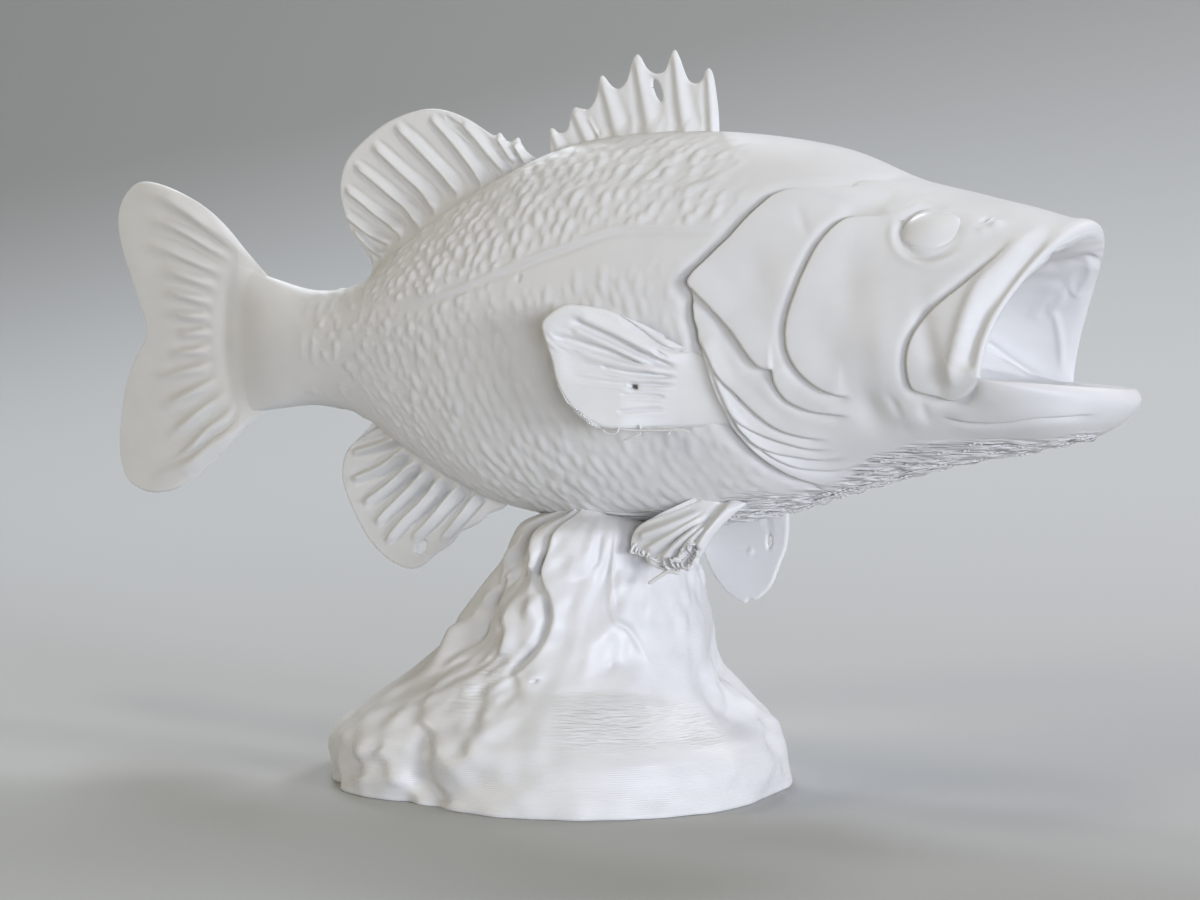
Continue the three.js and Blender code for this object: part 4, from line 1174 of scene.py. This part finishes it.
caudalFin = dict(
    replaces=("caudal_fin",), columns=300, rows=150,
    rootHalf=0.52, edgeHalf=0.38, round=0.42, sway=0.2, rayStrength=2.3,
    rayStart=0.42, rayEnd=0.5,
    root=[(-36.4, 48.4), (-37.2, 46.4), (-37.4, 43.0), (-37.2, 39.4), (-36.4, 36.8)],
    edge=[
        (-36.4, 48.8), (-37.9, 50.1), (-39.4, 51.3), (-41.2, 52.7), (-45.6, 56.1), (-49.9, 58.1),
        (-55.1, 59.5), (-58.8, 59.6), (-61.5, 57.9), (-62.5, 55.2), (-61.5, 51.8), (-59.1, 47.5),
        (-57.4, 44.3), (-57.6, 42.6), (-59.7, 40.0), (-61.5, 36.7), (-62.5, 32.4), (-62.4, 28.7),
        (-60.6, 26.4), (-56.8, 25.6), (-52.6, 26.3), (-48.1, 28.5), (-43.9, 31.3), (-40.6, 33.9),
        (-38.6, 35.1), (-36.4, 36.4)],
    rays=[
        ([(-40.6, 52.2), (-50.2, 57.0), (-58.6, 58.6)], 0.34, 0.18, 0.6, 0.8),
        ([(-41.8, 51.2), (-50.6, 54.6), (-57.2, 55.6)], 0.28, 0.14, 0.4, 0.6),
        ([(-43.0, 49.7), (-51.6, 52.0), (-58.4, 52.6)], 0.32, 0.14, 0.42, 0.62),
        ([(-44.2, 48.3), (-50.2, 49.6), (-55.6, 50.1)], 0.34, 0.12, 0.44, 0.64),
        ([(-45.0, 46.6), (-50.2, 47.4), (-54.8, 47.6)], 0.34, 0.12, 0.44, 0.6),
        ([(-45.4, 45.0), (-50.0, 45.3), (-54.2, 45.3)], 0.34, 0.1, 0.42, 0.58),
        ([(-45.2, 43.3), (-49.4, 43.4), (-52.4, 43.3)], 0.3, 0.1, 0.4, 0.5),
        ([(-45.4, 41.6), (-50.0, 41.2), (-53.8, 40.8)], 0.32, 0.1, 0.42, 0.58),
        ([(-45.1, 39.9), (-50.6, 38.9), (-56.2, 38.3)], 0.34, 0.12, 0.44, 0.64),
        ([(-44.2, 38.5), (-50.0, 36.4), (-55.6, 35.0)], 0.34, 0.14, 0.44, 0.66),
        ([(-43.0, 37.2), (-49.0, 34.0), (-54.8, 31.4)], 0.32, 0.14, 0.42, 0.66),
        ([(-41.6, 36.2), (-47.6, 32.0), (-53.8, 28.8)], 0.28, 0.14, 0.4, 0.62),
        ([(-40.4, 34.8), (-48.4, 29.8), (-57.4, 27.0)], 0.34, 0.18, 0.6, 0.8)],
)


# the bare flank behind the pectoral fin at three stations
bareFlank = dict(at=(8, 16, 24), side=(11.0, 11.4, 11.6), bottom=(25.9, 26.3, 27.6),
                 power=(2.2, 2.2, 2.1), widest=45.6)


def flankWidth(s, h):
    # half width of the bare skin below its widest line: a superellipse
    spec = bareFlank
    side, bottom, power = (np.interp(s, spec["at"], spec[k]) for k in ("side", "bottom", "power"))
    down = np.clip((spec["widest"] - h) / (spec["widest"] - bottom), 0, 1)
    return side * (1 - down ** power) ** (1 / power)


pectoralPlace = dict(
    rootS=20, out=11.7, lean=0.3,                           # the leaf leans out from here
    cup=0.5, cupFrom=36.5, cupTall=11.5, cupOver=(0, 8),    # a hollow along its middle
    cover=((36.4, 40, 43), (23.8, 21.6, 20.6)),             # heights and stations of the gill cover
    sinkFrom=16.6, sink=(1.3, -0.02), join=(13.5, 19.0),
)
pectoralMarks = dict(
    shoulder=[(18.4, 43.2), (16.4, 44.0), (14.0, 45.9), (11.4, 47.0), (8.6, 47.0), (7.4, 45.6),
              (8.2, 41.6)],
    shoulderRise=0.22, shoulderWidth=0.9,
    wrinkle=0.1, wrinkleTurns=7.2, wrinkleSlope=0.9, wrinkleAt=(17.0, 43.7), wrinkleSize=(1.2, 0.5),
    flake=0.16, flakeAt=(14.2, 40.6), flakeSize=(0.16, 0.14),
    stripes=0.09, pitch=0.36, stripesAt=44.5, stripesTall=0.7, stripesOver=(12.5, 8),
)


def pectoralMiddle(s, h):
    # the leaf leans out from the flank by lean for each mm back; its root sinks until its outer face
    # lies just under the gill cover's edge
    spec = pectoralPlace
    back = spec["rootS"] - s
    arch = np.sin(np.pi * np.clip((h - spec["cupFrom"]) / spec["cupTall"], 0, 1))
    leaf = spec["out"] + spec["lean"] * back - spec["cup"] * arch * blendStep(*spec["cupOver"], back)
    sunk = lerp(*spec["sink"], blendStep(spec["sinkFrom"], np.interp(h, *spec["cover"]), s))
    root = flankWidth(s, h) + sunk - pectoralFin["rootHalf"]
    return lerp(leaf, root, blendStep(*spec["join"], s))


def pectoralLift(s, h):
    # a thick shoulder on the leading edge, wrinkles by its root, a flake by its hole and layer lines
    spec = pectoralMarks
    (wrinkleS, wrinkleH), (flakeS, flakeH) = spec["wrinkleAt"], spec["flakeAt"]
    shoulder = spec["shoulderRise"] * bell(nearCurve(spec["shoulder"], s, h)[0], spec["shoulderWidth"])
    waves = np.sin(spec["wrinkleTurns"] * (s + spec["wrinkleSlope"] * h))
    wrinkle = spec["wrinkle"] * waves * spot(s - wrinkleS, h - wrinkleH, *spec["wrinkleSize"])
    flake = spec["flake"] * spot(s - flakeS, h - flakeH, *spec["flakeSize"])
    stripes = spec["stripes"] * np.sin(2 * np.pi * h / spec["pitch"]) * blendStep(*spec["stripesOver"], s)
    return shoulder + wrinkle + flake + stripes * bell(h - spec["stripesAt"], spec["stripesTall"])


pectoralFin = dict(
    columns=190, rows=130,
    rootHalf=0.8, edgeHalf=0.44, round=0.42, sway=0.08, rayStrength=2.6,
    root=[(23.6, 43.0), (24.4, 40.0), (25.2, 36.7)],
    edge=[
        (23.0, 43.4), (20.6, 43.9), (18.6, 43.7), (16.8, 44.6), (15.2, 45.9), (13.5, 47.2),
        (11.9, 47.8), (9.9, 48.1), (8.6, 48.1), (7.3, 47.4), (6.4, 46.5), (6.4, 45.5), (7.1, 43.0),
        (7.7, 40.6), (8.8, 38.8), (10.4, 37.4), (11.9, 36.6), (13.6, 36.4), (16.8, 36.4), (20.6, 36.4),
        (24.4, 36.5)],
    rays=[
        ([(18.9, 41.9), (15.6, 43.5), (12.1, 45.4), (8.8, 46.9)], -0.36, -0.16, 0.3, 0.36),
        ([(16.4, 42.0), (13.6, 43.4), (10.2, 44.3), (7.2, 45.2)], -0.34, -0.14, 0.26, 0.3),
        ([(18.8, 41.2), (14.6, 41.6), (11.6, 42.4)], -0.26, -0.2, 0.22, 0.16),
        ([(18.8, 40.4), (13.8, 40.6), (9.2, 41.2)], -0.2, -0.12, 0.18, 0.14),
        ([(17.8, 39.3), (13.6, 39.6)], -0.14, -0.12, 0.16, 0.14),
        ([(17.6, 38.2), (13.4, 38.0)], -0.08, -0.1, 0.2, 0.18),
        ([(18.2, 43.0), (15.9, 44.4)], -0.14, -0.1, 0.16, 0.16),
        ([(17.6, 43.3), (13.4, 45.6), (9.8, 47.2)], 0.26, 0.12, 0.42, 0.5),
        ([(17.0, 42.3), (12.8, 44.4), (9.0, 45.9)], 0.24, 0.12, 0.36, 0.44),
        ([(18.0, 41.7), (14.2, 42.5), (9.6, 43.6)], 0.2, 0.06, 0.34, 0.44)],
    holes=[(14.75, 40.35, 0.34, 0.17, -12)],
)

pelvicRight = dict(
    replaces=("pelvic_fin_right",), columns=150, rows=90,
    rootHalf=0.56, edgeHalf=0.34, round=0.36, sway=0.1, rayStrength=1.7,
    root=[(19.4, 30.4), (21.2, 30.8), (23.4, 31.0)],
    edge=[
        (18.6, 29.3), (16.2, 28.2), (13.9, 27.4), (12.5, 26.5), (11.9, 25.4), (12.0, 24.4),
        (13.2, 23.9), (14.0, 22.9), (15.4, 22.9), (17.0, 22.7), (18.4, 23.3), (19.6, 24.2),
        (20.6, 26.0), (21.8, 27.7), (23.4, 29.3)],
    rays=[
        ([(22.4, 29.6), (20.6, 26.8), (19.3, 24.5)], 0.6, 0.4, 0.62, 0.5),
        ([(19.4, 28.4), (16.2, 26.9), (12.5, 25.4)], 0.3, 0.3, 0.42, 0.5),
        ([(19.8, 28.2), (16.6, 26.0), (13.5, 24.2)], 0.34, 0.34, 0.36, 0.42),
        ([(19.6, 27.2), (17.4, 25.3), (15.4, 23.4)], 0.34, 0.34, 0.34, 0.38),
        ([(20.2, 27.2), (18.6, 25.4), (17.1, 23.2)], 0.36, 0.34, 0.32, 0.36),
        ([(20.5, 26.9), (19.4, 25.4), (18.4, 23.8)], -0.3, -0.2, 0.2, 0.2),
        ([(19.2, 27.4), (17.0, 25.6), (14.5, 23.6)], -0.2, -0.15, 0.22, 0.2)],
)

pelvicLeft = dict(
    replaces=("pelvic_fin_left",), side=-1, columns=150, rows=90,
    rootHalf=0.45, edgeHalf=0.28, round=0.34, rayStrength=1.0,
    root=[(15.6, 30.2), (19, 30.6), (22.6, 30.8)],
    edge=[
        (11.9, 25.0), (11.8, 23.0), (12.3, 21.5), (13.3, 19.9), (14.5, 18.7), (15.7, 18.0),
        (16.6, 17.7), (17.0, 18.1), (17.9, 18.2), (18.8, 18.9), (19.7, 20.0), (20.4, 21.7),
        (21.1, 23.4), (21.7, 25.4), (22.2, 27.3), (22.9, 29.4)],
    rays=[
        ([(19.6, 27.4), (19.6, 25.0)], -0.1, -0.06, 0.5, 0.4),
        ([(17.6, 23.2), (17.0, 22.8)], 0.14, 0.14, 0.3, 0.3)],
    holes=[(19.45, 24.2, 0.55, 0.25, 80)],
)


# how far out each pelvic leaf hangs, how much less near its root, and the heights and stations of that
pelvicPlace = dict(
    right=7.9, rightLess=2.6, rightOver=(24, 31), rightFrom=(14, 23), rightRoot=1.1, rightTop=(26, 31),
    left=8.0, leftLess=3.0, leftOver=(23, 31),
)


def pelvicMiddleRight(s, h):
    # the leaf flares outwards as it hangs lower
    spec = pelvicPlace
    inwards = spec["rightLess"] * blendStep(*spec["rightOver"], h) * blendStep(*spec["rightFrom"], s)
    return spec["right"] - inwards - spec["rightRoot"] * blendStep(*spec["rightTop"], h)


def pelvicMiddleLeft(s, h):
    # as on the right, alike at all stations
    return pelvicPlace["left"] - pelvicPlace["leftLess"] * blendStep(*pelvicPlace["leftOver"], h)


# loose threads on the right side: radius, depth w and points (s, h)
looseThreads = [
    (0.22, 8.5, [(17.5, 22.3), (16.3, 22.5), (15.2, 21.9), (14.0, 21.2)]),  # under the pelvic fin
    (0.09, 14.0, [(12.0, 36.4), (12.3, 36.05), (13.0, 35.9), (13.5, 36.1), (13.7, 36.6)]),
    (0.09, 13.2, [(15.5, 36.9), (15.6, 36.1), (15.2, 35.75), (14.2, 35.4), (13.4, 35.1)]),
    (0.08, 12.4, [(18.2, 36.6), (18.3, 36.1), (18.1, 35.8)]),
    (0.11, 13.7, [(11.6, 36.75), (14.0, 36.35), (17.0, 36.3), (20.6, 36.35)]),
    (0.09, 12.9, [(13.4, 36.7), (15.8, 36.45), (18.6, 36.5), (20.8, 36.1)]),
]
# coils along ragged edges: radius of the thread, of the coil, turns, depth w and points (s, h)
looseCoils = [
    (0.15, 0.4, 9, 8.4, [(14.6, 23.2), (16.0, 22.9), (17.8, 23.2), (19.5, 24.3)]),
    (0.15, 0.34, 6, 8.2, [(12.2, 24.6), (13.0, 24.2), (13.8, 24.0), (14.8, 23.3)]),
    (0.12, 0.34, 5, 8.6, [(16.4, 23.3), (17.6, 23.9), (18.6, 25.0), (19.4, 25.2)]),
    (0.08, 0.12, 22, 15.0, [(7.9, 40.6), (8.9, 38.9), (10.4, 37.5), (12.2, 36.6)]),
]


threadSpec = dict(
    steps=40, sides=7, coilParts=20,        # a coil is cut into parts of steps each
    taper=10, coilTaper=40,                 # how late a thread's ends get thin
    coilDepth=0.6, coilDrift=0.93,          # its swing in w, and how that lags behind the turns
    coilNoise=1.3, coilNoiseSize=0.8,       # x the coil's radius, and mm
)


def makeLooseThreads():
    # tubes along curves; a coil adds a circle that turns evenly and a little noise. The radius goes
    # with sqrt(1 - |2u - 1|^taper)
    spec = threadSpec
    steps, parts = spec["steps"], spec["coilParts"]
    paths, radii = [], []
    for radius, w, points in looseThreads:
        u = np.linspace(0, 1, steps)
        sh = curveThrough(np.array(points, float), u)
        paths.append(np.stack([sh[:, 0], np.full(steps, w), sh[:, 1]], -1))
        radii.append(radius * (1 - np.abs(2 * u - 1) ** spec["taper"]) ** 0.5)
    for radius, coil, turns, w, points in looseCoils:
        u = np.linspace(0, 1, parts * steps)
        sh = curveThrough(np.array(points, float), u)
        turn = 2 * np.pi * turns * u
        depth = w + spec["coilDepth"] * coil * np.sin(spec["coilDrift"] * turn)
        path = np.stack([sh[:, 0] + coil * np.cos(turn), depth, sh[:, 1] + coil * np.sin(turn)], -1)
        stray = [smoothNoise(path, spec["coilNoiseSize"], 71 + k) for k in range(3)]
        path += spec["coilNoise"] * coil * np.stack(stray, -1)
        paths += list(path.reshape(parts, steps, 3))
        thick = radius * (1 - np.abs(2 * u - 1) ** spec["coilTaper"]) ** 0.5
        radii += list(thick.reshape(parts, steps))
    corners, faces = tubes(np.array(paths), np.array(radii), spec["sides"])
    return makePiece("looseThreads", settle(corners), faces, finPlastic)


for finName, fin in (("spinyDorsalFin", spinyDorsal), ("softDorsalFin", softDorsal), ("analFin", analFin)):
    makeFin(finName, fin)
makeFin("caudalFin", caudalFin, lift=fleshyBase)
for sideName, side in (("right", 1), ("left", -1)):
    makeFin("pectoral_" + sideName, dict(pectoralFin, side=side, replaces=("pectoral_fin_" + sideName,)),
            pectoralMiddle, pectoralLift)
makeFin("pelvicRight", pelvicRight, pelvicMiddleRight)
makeFin("pelvicLeft", pelvicLeft, pelvicMiddleLeft)
makeLooseThreads()


rockSpec = dict(
    columns=380, rows=230, top=30.0,
    radius=[(0, 22.8), (5, 21.8), (7, 20), (9.2, 17.8), (11.2, 15.4), (14, 13.3), (17, 12.3),
            (19.5, 11.3), (22, 10), (24.4, 9.3), (25.8, 8.6), (26.6, 7.2), (27.4, 5.0), (29, 3.4),
            (30, 3.0)],
    lean=[(0, 0), (9, 0.1), (14, 2), (19.5, 3.3), (25, 5.1), (30, 5.8)],
    footHeights=(0, 0, 0.05, 0.18), footShares=(0.5, 0.985, 0.995, 1.0),    # the foot's rounded rim
    firstRow=0.4, crown=6.0,                # height of the row above it, and the top's middle
    # noise as (size in mm, seed, rise), taken on a round post: on the far side and on the front
    post=15,
    farNoise=[((4.2, 4.2, 7), 41, 0.9), ((2.1, 2.1, 3.4), 42, 0.45)],
    frontNoise=[((4, 4, 5), 44, 0.42), ((1.6, 1.6, 1.9), 45, 0.27)],
    front=((-150, -128), (20, 50)),         # bearings over which the front starts and ends
    rough=2.3, calm=(-104, -80),            # the front's noise is stronger before these bearings
    neck=(25, 28), neckLess=0.6,            # all of it is less above these heights
)
# bearing in degrees (0 towards the head, -90 towards the right flank), height, how wide, how tall, rise
rockLumps = [
    (-151, 26.5, 22, 3, 0.6), (-151, 17.5, 20, 4, -0.8), (-151, 4.6, 24, 2.8, 1.2), (-151, 0, 24, 2, -0.5),
    (-100, 0, 18, 9, -2.2), (-36, 0, 32, 9, 1.6), (-128, 8, 18, 5, 0.8), (-118, 18, 16, 6, -0.9),
    (-92, 20, 14, 8, 0.7), (-145, 17, 14, 4, 0.7), (180, 23, 30, 5, -0.7), (0, 9, 30, 3, -0.9),
    (-66, 7.0, 26, 3.4, 0.3), (-48, 9.4, 20, 2.6, 0.4), (-48, 13.4, 18, 2.4, -0.35),
    (-30, 5.2, 20, 2.6, 0.3),
    (-20, 3.0, 9, 3, 0.35), (-38, 2.6, 8, 2.6, -0.3), (-60, 3.4, 10, 3, 0.25),
    (55, 12, 18, 7, 0.9), (80, 4, 14, 6, -1.0), (110, 14, 16, 8, 1.0), (140, 6, 18, 6, 0.9),
    (150, 20, 16, 6, -0.7),
]


def curveValue(points, x):
    # the second value of a curve through the points where its first value is x
    line = curveThrough(points, np.linspace(0, 1, 400))
    return np.interp(x, line[:, 0], line[:, 1])


# folds on the rock's right side as (bearing, height) lines: points, rise, half width
rockFolds = [
    ([(-125, 26.4), (-111, 25.2), (-101, 23.3), (-102, 21.6)], 0.9, 0.8),
    ([(-133, 27.0), (-119, 24.6), (-112, 22.3), (-110, 20.2)], -0.8, 0.7),
    ([(-140, 23.6), (-127, 22.2), (-124, 20.4)], 0.6, 0.9),
    ([(-140, 21.6), (-127, 19.0), (-124, 16.1), (-123, 14.0)], -0.6, 0.7),
    ([(-117, 19.6), (-101, 17.4), (-98, 15.4), (-99, 13.4)], 0.65, 1.1),
    ([(-93, 20.0), (-84, 17.0), (-86, 14.2)], 0.3, 1.0),
    ([(-142, 16.4), (-136, 14.1), (-119, 11.1)], 0.7, 1.3),
    ([(-124, 17.2), (-119, 14.8), (-117, 12.6)], 0.35, 0.7),
    ([(-115, 17.2), (-104, 15.9), (-102, 14.3), (-104, 12.6), (-110, 11.4), (-114, 9.8)], -0.6, 0.6),
    ([(-97, 11.4), (-90, 9.2), (-89, 7.2)], -0.4, 0.6),
    ([(-89, 13.2), (-82, 10.9), (-77, 9.5), (-74, 7.0)], -0.5, 0.9),
    ([(-118, 10.2), (-111, 8.1), (-99, 4.2)], -0.6, 0.8),
    ([(-130, 7.0), (-126, 3.5), (-122, 1.6)], -0.4, 0.6),
    ([(-109, 2.6), (-101, 1.9), (-93, 0.2)], -0.8, 0.8),
    ([(6, 12.0), (14, 8.4), (30, 5.0)], 0.6, 1.2),
    ([(-59, 27.4), (-57, 24.2), (-54, 21.3), (-50, 17.8), (-42, 16.5), (-30, 12.6)], 0.3, 0.3),    # a drip
    ([(-68, 26.0), (-66, 24.0), (-64, 22.4)], -0.2, 0.5),
    ([(-74, 10.7), (-55, 11.0), (-41, 10.9), (-22, 9.6)], -0.16, 0.5),
    ([(-68, 7.2), (-56, 6.0), (-44, 5.6), (-28, 5.8)], -0.14, 0.5),
    ([(19, 10.6), (17, 8.6), (10, 6.4), (-6, 4.6)], 0.5, 0.7),
    ([(10, 11.4), (8, 8.8), (-2, 6.8), (-12, 6.2)], -0.4, 0.6),
    ([(-20, 8.6), (-24, 6.0), (-29, 3.4), (-30, 1.4)], -0.2, 0.9),
    ([(-130, 8.4), (-128, 5.6), (-122, 3.4)], 0.6, 1.1),
    ([(-118, 5.0), (-112, 3.6), (-108, 1.4)], 0.5, 0.8),
    ([(-8, 9.4), (4, 6.4), (16, 3.4)], -0.4, 1.1),
]
# knobs and dents: bearing, height, half width, rise
rockKnobs = [
    (-87.5, 11.6, 0.5, 0.4), (-85, 10.4, 0.55, 0.4), (-86, 9.0, 0.6, 0.4), (-83, 7.6, 0.7, 0.35),
    (-86, 6.4, 0.6, 0.4), (-79, 9.9, 0.5, 0.3), (-95, 12.4, 0.7, 0.4), (-99, 10.8, 0.7, 0.35),
    (-100, 6.4, 0.9, 0.4), (-112, 9.4, 0.8, 0.4), (-105, 8.3, 1.5, 0.55), (-121, 7.2, 1.7, 0.6),
    (-78, 8.0, 1.2, 0.35), (-89, 5.4, 1.7, 0.5), (-89, 10.8, 0.8, 0.3), (-76, 12.4, 0.9, 0.3),
    (-74, 9.6, 0.9, 0.25), (-97, 9.6, 0.7, -0.3), (-48, 13.1, 0.75, -0.4), (-47, 8.5, 0.9, -0.3),
    (-64, 5.6, 1.0, -0.4), (-76, 7.4, 0.9, -0.35), (-89, 5.9, 0.8, -0.45), (-72, 9.6, 0.8, -0.25),
    (-82, 3.4, 1.4, -0.4), (-58, 3.0, 1.6, -0.3), (-2, 3.1, 1.5, 0.5), (7, 4.6, 1.2, -0.4),
    (14, 6.4, 1.0, -0.4), (-12, 9.0, 1.1, 0.35), (-84, 7.6, 0.8, 0.3), (-28, 10.0, 0.9, -0.15),
    (-75.5, 11.9, 0.22, -0.6),
]
# patches of coarse printed layers: bearing, height, half width in degrees, half height, how coarse
rockLines = [(-50, 8.4, 15, 2.3, 0.28), (-97, 11.5, 7, 3.0, 0.26), (-22, 7.6, 9, 2.0, 0.16)]
slabEdge = dict(
    rise=0.9, edge=(-0.35, 0.45), reach=2.2, groove=0.7, grooveAway=0.7, grooveWidth=0.6, fade=0.1,
    points=[
    (-103, 29.5), (-95, 25.0), (-93, 21.9), (-83, 19.7), (-78, 17.6), (-80, 15.0), (-84, 13.2),
    (-88, 11.8)])
mmPerDegree = 0.24


def rockRelief(bearing, z):
    # lumps: spots over turn and height; folds and knobs: bells over their distance; the front slab
    # stands over a groove along its edge; noise gives the far side its own folds
    spec, slab = rockSpec, slabEdge
    scale = (mmPerDegree, 1)
    relief = np.zeros(z.shape)
    for at, height, wide, tall, rise in rockLumps:
        relief += rise * spot((bearing - at + 180) % 360 - 180, z - height, wide, tall)
    x = bearing * mmPerDegree
    for points, rise, width in rockFolds:
        relief += lineRelief((rise, width, np.array(points) * scale), x, z, 30, (0.2, 0.2))
    for at, height, width, rise in rockKnobs:
        relief += rise * spot(x - at * mmPerDegree, z - height, width, width)
    d, along = nearCurve(np.array(slab["points"]) * scale, x, z, 60)
    shelf = blendStep(*slab["edge"], d) * np.exp(-np.maximum(d, 0) / slab["reach"])
    groove = bell(d + slab["grooveAway"], slab["grooveWidth"])
    ends = blendStep(0, slab["fade"], 1 - along)
    relief += ends * (slab["rise"] * shelf - slab["groove"] * groove)
    a = np.radians(bearing)
    place = np.stack([spec["post"] * np.cos(a), spec["post"] * np.sin(a), z], -1)
    first, last = spec["front"]
    front = blendStep(*first, bearing) * (1 - blendStep(*last, bearing))
    rough = lerp(spec["rough"], 1.0, blendStep(*spec["calm"], bearing))
    calm = noiseSum(place, spec["frontNoise"]) * rough
    uneven = lerp(noiseSum(place, spec["farNoise"]), calm, front)
    return (relief + uneven) * (1 - spec["neckLess"] * blendStep(*spec["neck"], z))


def makeRock():
    # rings round an upright line that leans: radius and lean are curves of the height, and the relief
    # is added to the radius
    spec = rockSpec
    rows = np.linspace(spec["firstRow"], spec["top"], spec["rows"])
    z = np.concatenate([spec["footHeights"], rows])[:, None]
    shrink = np.concatenate([spec["footShares"], np.ones(spec["rows"])])[:, None]
    a = np.linspace(0, 2 * np.pi, spec["columns"], endpoint=False)[None]
    bearing = np.degrees((a + np.pi) % (2 * np.pi) - np.pi)
    radius = (curveValue(spec["radius"], z) + rockRelief(bearing + 0 * z, z + 0 * a)) * shrink
    lean = curveValue(spec["lean"], z)
    points = np.stack([lean + radius * np.cos(a), radius * np.sin(a), z + 0 * a], -1)
    corners, faces = closedRings(points, np.zeros(3), np.array([spec["crown"], 0.0, spec["top"]]))
    lines = sum(share * np.exp(-((bearing - at) / wide) ** 4 - ((z - height) / tall) ** 4)
                for at, height, wide, tall, share in rockLines)
    return makePiece("rock", corners, faces, pedestalPlastic, ("rock_pedestal",),
                     rough=np.append(lines.ravel(), (0, 0)))


makeRock()
print("fins and rock made")


stageSpec = dict(near=-1.6, bend=0.1, arc=1.1, sweep=1.5, steps=33, half=3,     # metres and radians
                 color=(0.47, 0.48, 0.478, 1))


def makeStage():
    # a pale floor whose far side curves up on an arc
    spec = stageSpec
    profile = [(spec["near"], 0.0)] + [
        (spec["bend"] + spec["arc"] * np.sin(a), spec["arc"] - spec["arc"] * np.cos(a))
        for a in np.linspace(0, spec["sweep"], spec["steps"])]
    points = [(x, y, z) for y, z in profile for x in (-spec["half"], spec["half"])]
    faces = [(i, i + 1, i + 3, i + 2) for i in range(0, len(points) - 2, 2)]
    mesh = bpy.data.meshes.new("paleFloor")
    mesh.from_pydata(points, [], faces)
    mesh.shade_smooth()
    material = bpy.data.materials.new("paleFloor")
    material.use_nodes = True
    setInputs(material.node_tree.nodes["Principled BSDF"], Base_Color=spec["color"], Roughness=1.0,
              Specular_IOR_Level=0.0)
    mesh.materials.append(material)
    floor = bpy.data.objects.new("paleFloor", mesh)
    bpy.context.scene.collection.objects.link(floor)


# round soft lamps: degrees round from the snout's side towards the right flank, degrees up, metres
# away, power in watts at half a metre, and colour
lightSpecs = [
    dict(name="frontLight", around=50, up=0, away=1.5, power=1.5, color=(0.84, 0.88, 1.0)),
    dict(name="windowLight", around=25, up=2, away=1.5, power=2.15, color=(0.9, 0.93, 1.0)),
    dict(name="rearRight", around=-60, up=40, away=0.5, power=0.8, color=(0.96, 0.94, 1.0)),
    dict(name="rearLeft", around=230, up=40, away=0.5, power=0.95, color=(0.84, 0.9, 1.0)),
    dict(name="leftLight", around=140, up=20, away=0.5, power=0.74, color=(1.0, 0.91, 0.74)),
    dict(name="topLight", around=60, up=75, away=0.5, power=0.38, color=(1.0, 0.96, 0.78)),
]
# where they aim, their width for a metre away and the distance that their power is given at
studio = dict(aim=(0.0, -0.01, 0.045), width=0.32, usual=0.5,
              world=(1.0, 0.97, 0.93, 1), worldStrength=0.03)
# a wide lamp above and behind the figure that faces away from it, to light the far curve of the floor
farLamp = dict(place=(0.0, 0.3, 1.25), target=(0.0, 1.2, 0.45), size=(1.8, 0.5), power=8.0)


def placeObject(name, data, place, direction):
    # lamps and cameras look along their own -z axis
    thing = bpy.data.objects.new(name, data)
    thing.location = place
    thing.rotation_euler = direction.to_track_quat("-Z", "Y").to_euler()
    bpy.context.scene.collection.objects.link(thing)
    return thing


def makeLights():
    # a round lamp's power grows with the square of its distance, so the figure gets the same light
    aim = Vector(studio["aim"])
    wide = bpy.data.lights.new("farLamp", "AREA")
    wide.shape, wide.energy = "RECTANGLE", farLamp["power"]
    wide.size, wide.size_y = farLamp["size"]
    place, target = Vector(farLamp["place"]), Vector(farLamp["target"])
    placeObject("farLamp", wide, place, target - place)
    for spec in lightSpecs:
        light = bpy.data.lights.new(spec["name"], "AREA")
        light.shape = "DISK"
        light.size, light.color = studio["width"] * spec["away"], spec["color"]
        light.energy = spec["power"] * (spec["away"] / studio["usual"]) ** 2
        around, up = np.radians(spec["around"]), np.radians(spec["up"])
        away = Vector((np.cos(up) * np.cos(around), -np.cos(up) * np.sin(around), np.sin(up)))
        placeObject(spec["name"], light, aim + spec["away"] * away, -away)
    world = bpy.data.worlds.new("studio")
    world.use_nodes = True
    setInputs(world.node_tree.nodes["Background"], Color=studio["world"], Strength=studio["worldStrength"])
    bpy.context.scene.world = world
    bpy.context.scene.view_settings.view_transform = "Standard"


cameraSpec = dict(place=(157.720, -288.683, 59.433), target=(3.293, 1.751, 32.967), lens=99.0)


def makeCamera():
    # place and target are millimetres
    camera = bpy.data.cameras.new("camera")
    camera.lens, camera.sensor_width = cameraSpec["lens"], 36.0
    camera.clip_start, camera.clip_end = 0.01, 20.0
    place, target = (Vector(cameraSpec[k]) * millimetre for k in ("place", "target"))
    bpy.context.scene.camera = placeObject("camera", camera, place, target - place)


makeStage()
makeLights()
makeCamera()
print("stage, lights and camera made")
